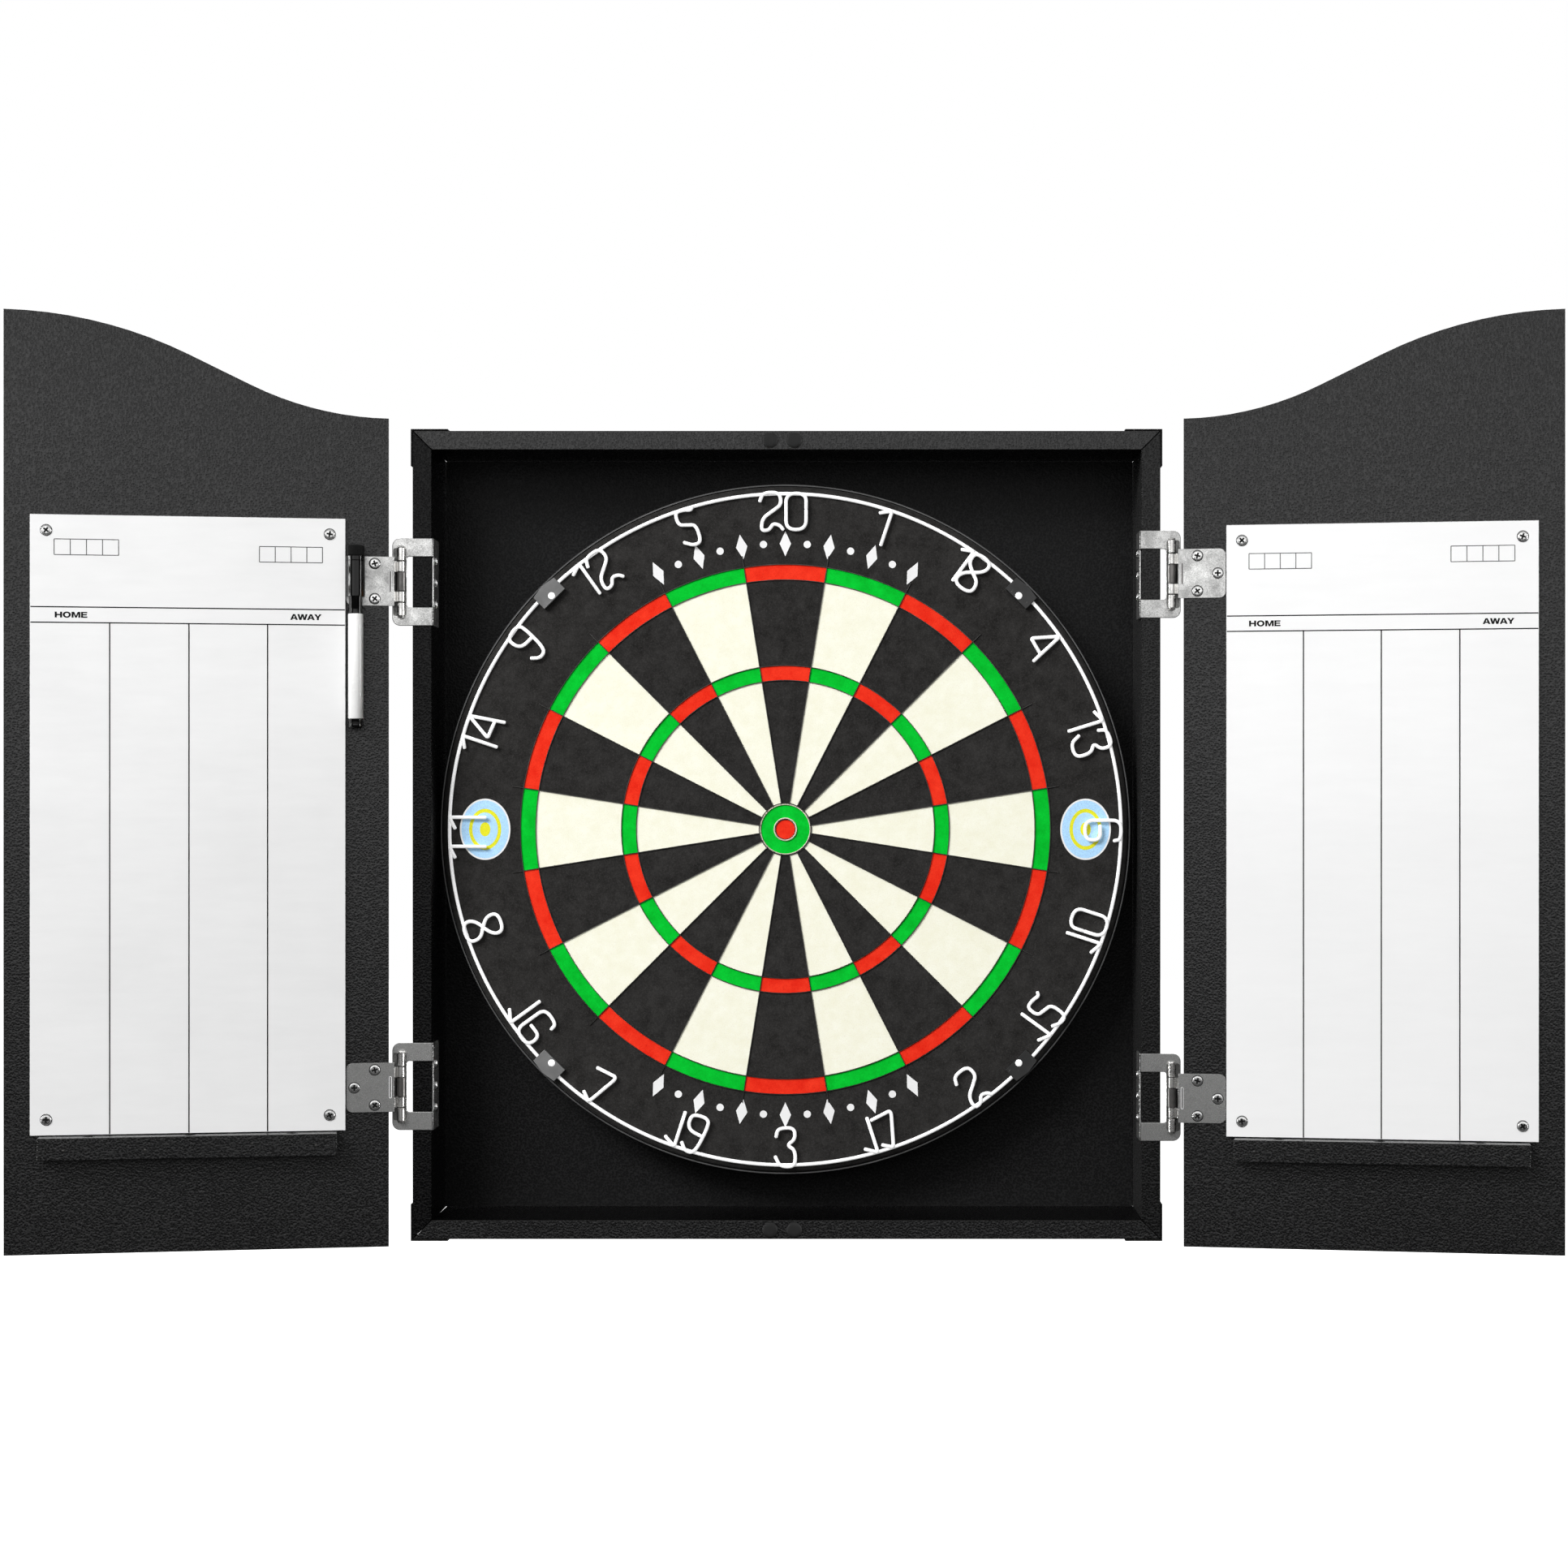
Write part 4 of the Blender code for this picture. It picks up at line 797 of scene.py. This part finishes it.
def build_print(name, side):
    """The scoreboard's rules, its head words and two rows of four tick squares."""
    lift = door_lift(side)
    top = SCOREBOARD_TOP[name]
    near, far = SCOREBOARD_EDGE, SCOREBOARD_EDGE + SCOREBOARD_WIDTH
    level, thick = SCOREBOARD_FACE + 0.02 * MM, 0.05 * MM
    black, grey = bmesh.new(), bmesh.new()

    def rule(work, x0, x1, z0, z1):
        prism(work, [(x0, z0), (x1, z0), (x1, z1), (x0, z1)], level, level + thick, lift)

    upper, lower, across, half_down = top - 58.3 * MM, top - 68.1 * MM, 0.75 * MM, 0.4 * MM
    margin = 0.4 * MM
    for height in (upper, lower):
        rule(black, near + margin, far - margin, height - across / 2, height + across / 2)
    for share in (0.25, 0.5, 0.75):
        edge = near + SCOREBOARD_WIDTH * share
        rule(black, edge - half_down, edge + half_down, top - SCOREBOARD_HEIGHT + margin, lower)
    cell, line = 9.9 * MM, 0.5 * MM
    # Each row of squares: its start from the hinge side, and how far below the top edge it is
    for start, drop in ((14.5 * MM, 18.5 * MM), (141.5 * MM, 15.5 * MM)):
        high = top - drop
        for k in range(5):
            edge = near + start + k * cell
            rule(grey, edge - line / 2, edge + line / 2, high - cell, high)
        for height in (high, high - cell):
            rule(grey, near + start, near + start + 4 * cell, height - line / 2, height + line / 2)
    words = (("HOME", far - 25.3 * MM), ("AWAY", near + 25 * MM))
    if name == "right":
        words = (("AWAY", far - 25 * MM), ("HOME", near + 24.5 * MM))
    for word, edge in words:
        letters(black, word, lift, edge, (upper + lower) / 2, level, thick, side)
    body = f"door_{name}"
    added(f"rules_{name}", black, "ink_black", body, "scoreboard_white", smooth=False)
    added(f"tick_squares_{name}", grey, "ink_grey", body, "scoreboard_white", smooth=False)


def mirrored(half, *middle):
    """An outline in a unit box from its left half, closed by any point at its middle."""
    return [*half, *[(1 - x, z) for x, z in reversed(half)], *middle]


# Bold capitals in a unit box: (width in mm, outline, hole)
LETTERS = {
    "H": (4.5, mirrored([(0.28, 0.62), (0.28, 1), (0, 1), (0, 0), (0.28, 0), (0.28, 0.39)]), None),
    "O": (5.0, [(0.5 + 0.5 * x, 0.5 + 0.53 * z) for x, z in loop((0, 0), 1, 24)],
          [(0.5 + 0.24 * x, 0.5 + 0.29 * z) for x, z in loop((0, 0), 1, 24)]),
    "M": (5.4, mirrored([(0.3, 1), (0, 1), (0, 0), (0.23, 0), (0.23, 0.62), (0.41, 0)], (0.5, 0.33)), None),
    "E": (3.9, [(0, 0), (1, 0), (1, 0.22), (0.31, 0.22), (0.31, 0.4), (0.92, 0.4), (0.92, 0.61),
                (0.31, 0.61), (0.31, 0.79), (0.98, 0.79), (0.98, 1), (0, 1)], None),
    "A": (4.9, mirrored([(0.36, 1), (0, 0), (0.27, 0), (0.33, 0.2)]), [(0.4, 0.4), (0.6, 0.4), (0.5, 0.74)]),
    "W": (6.4, mirrored([(0.4, 0), (0.19, 0), (0, 1), (0.2, 1), (0.3, 0.4), (0.4, 1)], (0.5, 0.6)), None),
    "Y": (4.6, mirrored([(0.3, 1), (0, 1), (0.36, 0.4), (0.36, 0)], (0.5, 0.63)), None),
}
LETTER_HEIGHT = 3.7 * MM


def letters(work, word, lift, edge, height, level, thick, side):
    """One head word, its letters side by side and centred on that spot."""
    gap = {"HOME": 0.4 * MM, "AWAY": -0.35 * MM}[word]
    widths = [LETTERS[letter][0] * MM for letter in word]
    start = -(sum(widths) + gap * (len(word) - 1)) / 2
    for letter, width in zip(word, widths):
        def place(x, z, out, start=start, width=width):
            return lift(edge + side * (start + x * width), height + (z - 0.5) * LETTER_HEIGHT, out)

        outline, hole = LETTERS[letter][1:]
        if hole:
            pierced(work, outline, [hole[::-1]], level, level + thick, place)
        else:
            prism(work, outline, level, level + thick, place)
        start += width + gap


# The marker


def build_marker():
    side = SIDES["left"]
    matrix = door_frame(side)
    centre = Vector((-side * (DOOR_EDGE + 21.1 * MM), DOOR_FACE + 7.5 * MM, 68.5 * MM))

    def lift(x, y, up):
        return matrix @ (centre + Vector((x, y, up)))

    plug = in_mm((0, 0), (3.4, 0), (4.1, 0.4), (4.4, 1.1), (4.4, 3.2), (4.15, 3.5), (4.15, 4.1),
                 (4.4, 4.4), (4.4, 5.7), (0, 5.7))
    turned_piece("marker_plug", plug, 40, lift, "marker_black", "marker", "marker_black",
                 ["marker_end_plug"])
    barrel = in_mm((0, 6), (4.6, 6), (4.85, 6.4), (4.85, 72.4), (4.6, 73), (0, 73))
    turned_piece("marker_body", barrel, 48, lift, "marker_white", "marker", "marker_white",
                 ["marker_barrel"])
    grip = in_mm((0, 72.9), (4.3, 72.9), (4.3, 75), (4.2, 75.3), (4.2, 76.2), (4.3, 76.5),
                 (4.3, 92), (2.4, 94), (2.4, 99), (1, 102), (0, 102))
    turned_piece("marker_grip", grip, 40, lift, "marker_black", "marker", "marker_black")
    cap_low, cap_floor, cap_high = 84 * MM, 107 * MM, 110 * MM
    cap_radius, cap_bore, grooves, groove_depth = 6 * MM, 4.9 * MM, 8, 0.22 * MM
    work = bmesh.new()
    outline = []
    for k in range(48):
        a = math.tau * k / 48
        reach = cap_radius - groove_depth * (0.5 + 0.5 * math.cos(grooves * a)) ** 2
        outline.append((reach * math.cos(a), reach * math.sin(a)))
    pierced(work, outline, [loop((0, 0), cap_bore, 40)[::-1]], cap_low, cap_floor, lift)
    prism(work, outline, cap_floor, cap_high, lift)
    added("marker_cap_shell", work, "marker_black", "door_left", "marker_black", ["marker_cap"], 0.35 * MM)
    eraser = in_mm((0, 110.3), (5.6, 110.3), (5.6, 115.8), (5.3, 116.5), (4.6, 117), (0, 117))
    turned_piece("marker_eraser_tip", eraser, 40, lift, "marker_felt", "door_left", "marker_felt",
                 ["marker_eraser"])


# The board


def build_board():
    build_face()
    dress("board_backing", "board_wood", 0.4 * MM)
    build_band()
    build_spider()
    build_ring()
    build_clips()
    build_ornaments()
    build_badges()


def build_face():
    """The fibre face with its four colours, and the rounded rim behind it."""
    fine = 12  # faces across each sector
    count = SECTORS * fine
    rings = [7.25, 16, 56, 97.3, 107, 135, 162.9, 173, 198, 220.2]
    rim = [(221.6, 0.35), (222.9, 1.2), (223.8, 2.6), (224.2, 4.4), (224.2, 27.7)]
    levels = [(r * MM, BOARD_FACE) for r in rings] + [(r * MM, BOARD_FACE + d * MM) for r, d in rim]
    work = bmesh.new()
    centre = work.verts.new(board_lift(0, 0, BOARD_FACE))
    columns = []
    for k in range(count):
        a = math.tau * (k / count - 0.5 / SECTORS)
        columns.append([work.verts.new(board_lift(r * math.sin(a), r * math.cos(a), y)) for r, y in levels])
    black, cream, red, green = range(4)
    for k, column in enumerate(columns):
        following = columns[(k + 1) % count]
        even = (k // fine) % 2 == 0
        single, multiple = (black, red) if even else (cream, green)
        bands = [green, single, single, multiple, single, single, multiple] + [black] * 7
        work.faces.new((centre, column[0], following[0])).material_index = red
        for i, colour in enumerate(bands):
            face = work.faces.new((column[i], column[i + 1], following[i + 1], following[i]))
            face.material_index = colour
    work.faces.new([column[-1] for column in columns]).material_index = black
    added("board_face", work, ("sisal_black", "sisal_cream", "sisal_red", "sisal_green"), "board",
          "board_sisal", ["board_bristle"])


def build_band():
    inner = 224.5 * MM
    front, back = BOARD_FACE + 2.5 * MM, -15 * MM
    profile = [(inner, back), (BOARD_BAND, back), (BOARD_BAND, front + 0.5 * MM),
               (BOARD_BAND - 0.3 * MM, front), (inner, front)]
    work = bmesh.new()
    turned(work, profile, 240, board_lift, closed=True)
    added("band_hoop", work, "band_black", "board", "band_black", ["board_band"])


# The wires round both bulls and their seats: name, radius and half width in mm, look
BULL_WIRES = (("outer_seat", 17.0, 0.32, "spider_steel"), ("outer", 16.2, 0.4, "bull_wire"),
              ("inner", 7.2, 0.5, "bull_wire"), ("inner_seat", 6.5, 0.26, "spider_steel"))
SCORING_RINGS = (97.3, 107, 162.9, 173)


def build_spider():
    """Thin blades: spokes between the sectors and hoops at the scoring rings."""
    work = bmesh.new()
    base, tip, rise = 0.33 * MM, 0.14 * MM, 1.0 * MM
    for k in range(SECTORS):
        degrees = (k + 0.5) * 360 / SECTORS
        along = on_board(1, degrees) - on_board(0, degrees)
        across = along.cross(OUT_OF_FACE)
        ends = []
        for radius in (16 * MM, 180.5 * MM):
            foot = on_board(radius, degrees)
            ends.append([work.verts.new(foot + across * w - OUT_OF_FACE * h)
                         for w, h in ((-base, -0.2 * MM), (-tip, rise), (tip, rise), (base, -0.2 * MM))])
        closed_between(work, *ends)
    for radius in SCORING_RINGS:
        r = radius * MM
        profile = [(r - base, BOARD_FACE + 0.2 * MM), (r - tip, BOARD_FACE - rise),
                   (r + tip, BOARD_FACE - rise), (r + base, BOARD_FACE + 0.2 * MM)]
        turned(work, profile, 180, board_lift, closed=True)
    added("spider_blades", work, "spider_steel", "board", "spider_steel", ["spider"], smooth=False)
    for label, radius, half, look in BULL_WIRES:
        work = bmesh.new()
        profile = [((radius + half * x) * MM, BOARD_FACE - (0.5 - 1.3 * half * y) * MM)
                   for x, y in loop((0, 0), 1, 10)]
        turned(work, profile, 96, board_lift, closed=True)
        added(f"bull_wire_{label}", work, look, "board", "spider_steel")


# Each digit's wire as (bend ease, points across -0.5..0.5 and up 0..1)
DIGITS = {
    0: (0.5, [(0.5, 0.58), (0.5, 1.0), (-0.5, 1.0), (-0.5, 0.5), (-0.5, 0.0), (0.5, 0.0), (0.5, 0.545)]),
    1: (0.14, [(-0.54, 0.84), (0.02, 1.0), (0.0, 0.0)]),
    2: (0.46, [(-0.58, 0.78), (-0.42, 1.02), (0.4, 1.03), (0.5, 0.7), (0.08, 0.52), (-0.44, 0.32),
               (-0.52, -0.03), (-0.12, -0.02), (0.08, 0.17), (0.42, 0.12), (0.58, 0.0)]),
    3: (0.46, [(-0.46, 0.78), (-0.36, 1.02), (0.45, 1.04), (0.5, 0.72), (0.08, 0.55), (0.5, 0.42),
               (0.5, -0.04), (-0.25, -0.04), (-0.5, 0.24)]),
    4: (0.11, [(0.49, 0.0), (0.27, 1.0), (-0.5, 0.32), (0.4, 0.27)]),
    5: (0.46, [(0.56, 1.0), (0.44, 0.91), (0.1, 0.98), (-0.36, 0.98), (-0.38, 0.62), (0.05, 0.55),
               (0.46, 0.48), (0.46, 0.0), (0.05, -0.04), (-0.38, 0.12)]),
    6: (0.48, [(0.52, 0.8), (0.45, 1.0), (-0.5, 1.0), (-0.5, 0.5), (-0.5, 0.0), (0.48, 0.0),
               (0.48, 0.43), (-0.24, 0.42)]),
    7: (0.17, [(-0.6, 0.9), (0.5, 1.0), (0.05, 0.0), (-0.45, 0.16)]),
    8: (0.5, [(0.0, 0.5), (-0.48, 0.68), (-0.48, 1.02), (0.48, 1.02), (0.48, 0.68), (-0.5, 0.34),
              (-0.5, -0.02), (0.5, -0.02), (0.5, 0.34), (0.0, 0.5)]),
    9: (0.47, [(0.28, 0.5), (-0.3, 0.55), (-0.52, 0.72), (-0.46, 1.02), (0.42, 1.02), (0.44, 0.68),
               (0.22, 0.0), (-0.25, -0.03), (-0.55, 0.18)]),
}
UPRIGHT_ONE = (0.13, [(0.0, 1.0), (0.0, 0.0), (-0.58, 0.2)])
DIGIT_HEIGHT, DIGIT_WIDTH = 23.6 * MM, 13.1 * MM
DIGIT_WIRE = 1.15 * MM


def build_ring():
    """The number ring: a hoop of white wire with each number bent from the same wire."""
    work = bmesh.new()
    centre_y = BOARD_FACE - 0.3 * MM - RING_WIRE
    turned(work, loop((RING_RADIUS, centre_y), RING_WIRE, 12), 240, board_lift, closed=True)
    foot = RING_RADIUS - DIGIT_HEIGHT
    middle_of_ring = Vector((BOARD_X, centre_y - 1.5 * MM, BOARD_Z))
    for index, (number, *middles) in enumerate(NUMBERS):
        upright = index in UPRIGHT
        turn = Matrix.Rotation(index * math.tau / SECTORS, 3, "Y")
        for digit, middle in zip(str(number), middles):
            ease, points = UPRIGHT_ONE if digit == "1" and upright else DIGITS[int(digit)]
            flip = -1 if digit == "0" and upright else 1
            path = []
            for across, up in points:
                x, z = middle * MM + flip * across * DIGIT_WIDTH, up * DIGIT_HEIGHT
                if upright:
                    x, z = -x, DIGIT_HEIGHT - z
                path.append(middle_of_ring + turn @ Vector((x, 0, foot + z)))
            wire(work, bent(path, ease), DIGIT_WIRE)
    added("number_wire", work, "number_white", "board", "number_white", ["number_ring"])


def build_clips():
    """The four spring clips over the ring, each with a nail in it."""
    places = {"top_right": 45, "bottom_right": 135, "bottom_left": 225, "top_left": 315}
    for label, degrees in places.items():
        # The left clips get the lighter copy of the clip paint and the right ones the darker: painted light
        # and shade.
        dress(f"ring_clip_{label}", "clip_grey" if "left" in label else "clip_dark", 0.35 * MM)
        middle = on_board(215.2 * MM, degrees, 4.5 * MM)

        def lift(x, z, out, middle=middle):
            return middle + Vector((x, -out, z))

        nail(f"clip_nail_{label}", lift, "board", "clip_grey", "nail_white", 2.3 * MM, 0.5 * MM)


def flat(work, outline, out, thick=0.04 * MM):
    """A printed mark on the board's face, its outline given as points on the face."""
    closed_between(work, *([work.verts.new(p - OUT_OF_FACE * level) for p in outline]
                           for level in (out, out + thick)))


def build_ornaments():
    """Plain lozenges and dots printed in two arcs, above and below the scoring field."""
    radius, step, dot = 186.5 * MM, 4.4, 2.4 * MM
    reach, turn = 8.2 * MM, 1.15  # half a lozenge, outwards and in degrees along the arc
    work = bmesh.new()
    for centre in (0, 180):
        for k in range(-6, 7):
            degrees = centre + k * step
            if k % 2 == 0:
                outline = [on_board(radius + a, degrees + b)
                           for a, b in ((-reach, 0), (0, -turn), (reach, 0), (0, turn))]
            else:
                middle = on_board(radius, degrees)
                outline = [middle + Vector((x, 0, z)) for x, z in loop((0, 0), dot, 24)]
            flat(work, outline, 0.03 * MM)
    added("ornament_arcs", work, "print_white", "board", "board_sisal", smooth=False)


def build_badges():
    """A plain oval badge of rings at each side of the board."""
    for label, degrees in (("left", 270), ("right", 90)):
        middle = on_board(196 * MM, degrees)
        for part, look, radii, out in (("rim", "print_white", (16.5, 20.0), 0.03),
                                       ("field", "badge_blue", (15.4, 18.9), 0.08),
                                       ("ring", "badge_yellow", (10.5, 13.4), 0.13),
                                       ("middle", "badge_blue", (8.3, 11.0), 0.18),
                                       ("dot", "badge_yellow", (3.4, 4.6), 0.23)):
            work = bmesh.new()
            outline = [middle + Vector((radii[0] * MM * x, 0, radii[1] * MM * z))
                       for x, z in loop((0, 0), 1, 64)]
            flat(work, outline, out * MM)
            added(f"badge_{label}_{part}", work, look, "board", "board_sisal", smooth=False)


# Stage, light and camera


def build_stage():
    work = bmesh.new()
    half, drop = 9.0, 0.32
    corners = ((-half, -half), (half, -half), (half, half), (-half, half))
    work.faces.new([work.verts.new((x, y, 0)) for x, y in corners])
    mesh = bpy.data.meshes.new("floor")
    work.to_mesh(mesh)
    work.free()
    floor = bpy.data.objects.new("floor", mesh)
    bpy.context.scene.collection.objects.link(floor)
    floor.location.z = CAD_BOX[0].z - drop
    floor.visible_glossy = False
    floor.visible_diffuse = False
    look = Look("floor_paper", Emission_Strength=0.85, Emission_Color=(1, 1, 1, 1))
    look.colour(look.blend(look.noise(3, 3), neutral(0.9), neutral(0.93)))
    look.roughness(look.noise(200, 2), 0.3, 0.7, 0.85, 0.95)
    mesh.materials.append(look.material)


def build_world():
    """White behind the object, and a softer sky that lights it, brighter above than below."""
    world = bpy.data.worlds.new("studio")
    bpy.context.scene.world = world
    world.use_nodes = True
    tree = world.node_tree
    tree.nodes.clear()
    output, mix, seen, lit, path, coords, split, half, ramp = (
        tree.nodes.new(f"ShaderNode{kind}")
        for kind in ("OutputWorld", "MixShader", "Background", "Background", "LightPath", "TexCoord",
                     "SeparateXYZ", "MapRange", "ValToRGB"))
    seen.inputs["Color"].default_value = (1, 1, 1, 1)
    half.inputs[1].default_value = -1
    for stop, position, tone in zip(ramp.color_ramp.elements, (0.47, 0.8), (0.06, 0.42)):
        stop.position = position
        stop.color = (*neutral(tone), 1)
    for source, socket in ((coords.outputs["Generated"], split.inputs[0]),
                           (split.outputs["Z"], half.inputs[0]),
                           (half.outputs[0], ramp.inputs[0]),
                           (ramp.outputs[0], lit.inputs["Color"]),
                           (path.outputs["Is Camera Ray"], mix.inputs[0]),
                           (lit.outputs[0], mix.inputs[1]),
                           (seen.outputs[0], mix.inputs[2]),
                           (mix.outputs[0], output.inputs[0])):
        tree.links.new(source, socket)


def area_light(name, place, target, size, power, mirrored=True):
    light = bpy.data.lights.new(name, "AREA")
    light.shape = "RECTANGLE"
    light.size, light.size_y = size
    light.energy = power
    obj = bpy.data.objects.new(name, light)
    bpy.context.scene.collection.objects.link(obj)
    obj.visible_glossy = mirrored
    obj.location = place
    obj.rotation_euler = (Vector(target) - Vector(place)).to_track_quat("-Z", "Y").to_euler()
    return obj


def build_lights():
    area_light("key", (-2.1, -2.9, 2.0), (0, 0, 0.05), (2.2, 1.2), 166, mirrored=False)
    area_light("front_left", (-1.15, -2.6, 0.62), (-1.15, 0, 0.62), (2.1, 1.2), 10.6)
    area_light("front_right", (0.95, -2.6, 0.62), (0.95, 0, 0.62), (2.1, 1.2), 8.2)
    area_light("rim", (0.0, 1.8, 1.6), (0, 0, 0), (2.2, 1.0), 42)
    for name, side in SIDES.items():
        strip = area_light(f"strip_{name}", (side * 2.3, -0.4, 0.1), (0, -0.1, 0), (0.12, 1.8), 30)
        strip.visible_diffuse = False  # it only glints in the steel and the marker


def build_camera():
    camera = bpy.data.objects.new("camera", bpy.data.cameras.new("camera"))
    bpy.context.scene.collection.objects.link(camera)
    camera.location = (0.057, -2.109, 0.0167)
    camera.rotation_euler = (math.radians(90), 0, 0)
    camera.data.sensor_width = 36
    camera.data.lens = 72.3
    camera.data.shift_x = -0.058
    camera.data.shift_y = 0.016
    camera.data.clip_end = 60
    bpy.context.scene.camera = camera


def main():
    build_box()
    build_hinges()
    build_doors()
    build_marker()
    build_board()
    build_stage()
    build_world()
    build_lights()
    build_camera()
    bpy.context.scene.view_settings.view_transform = "Standard"


main()
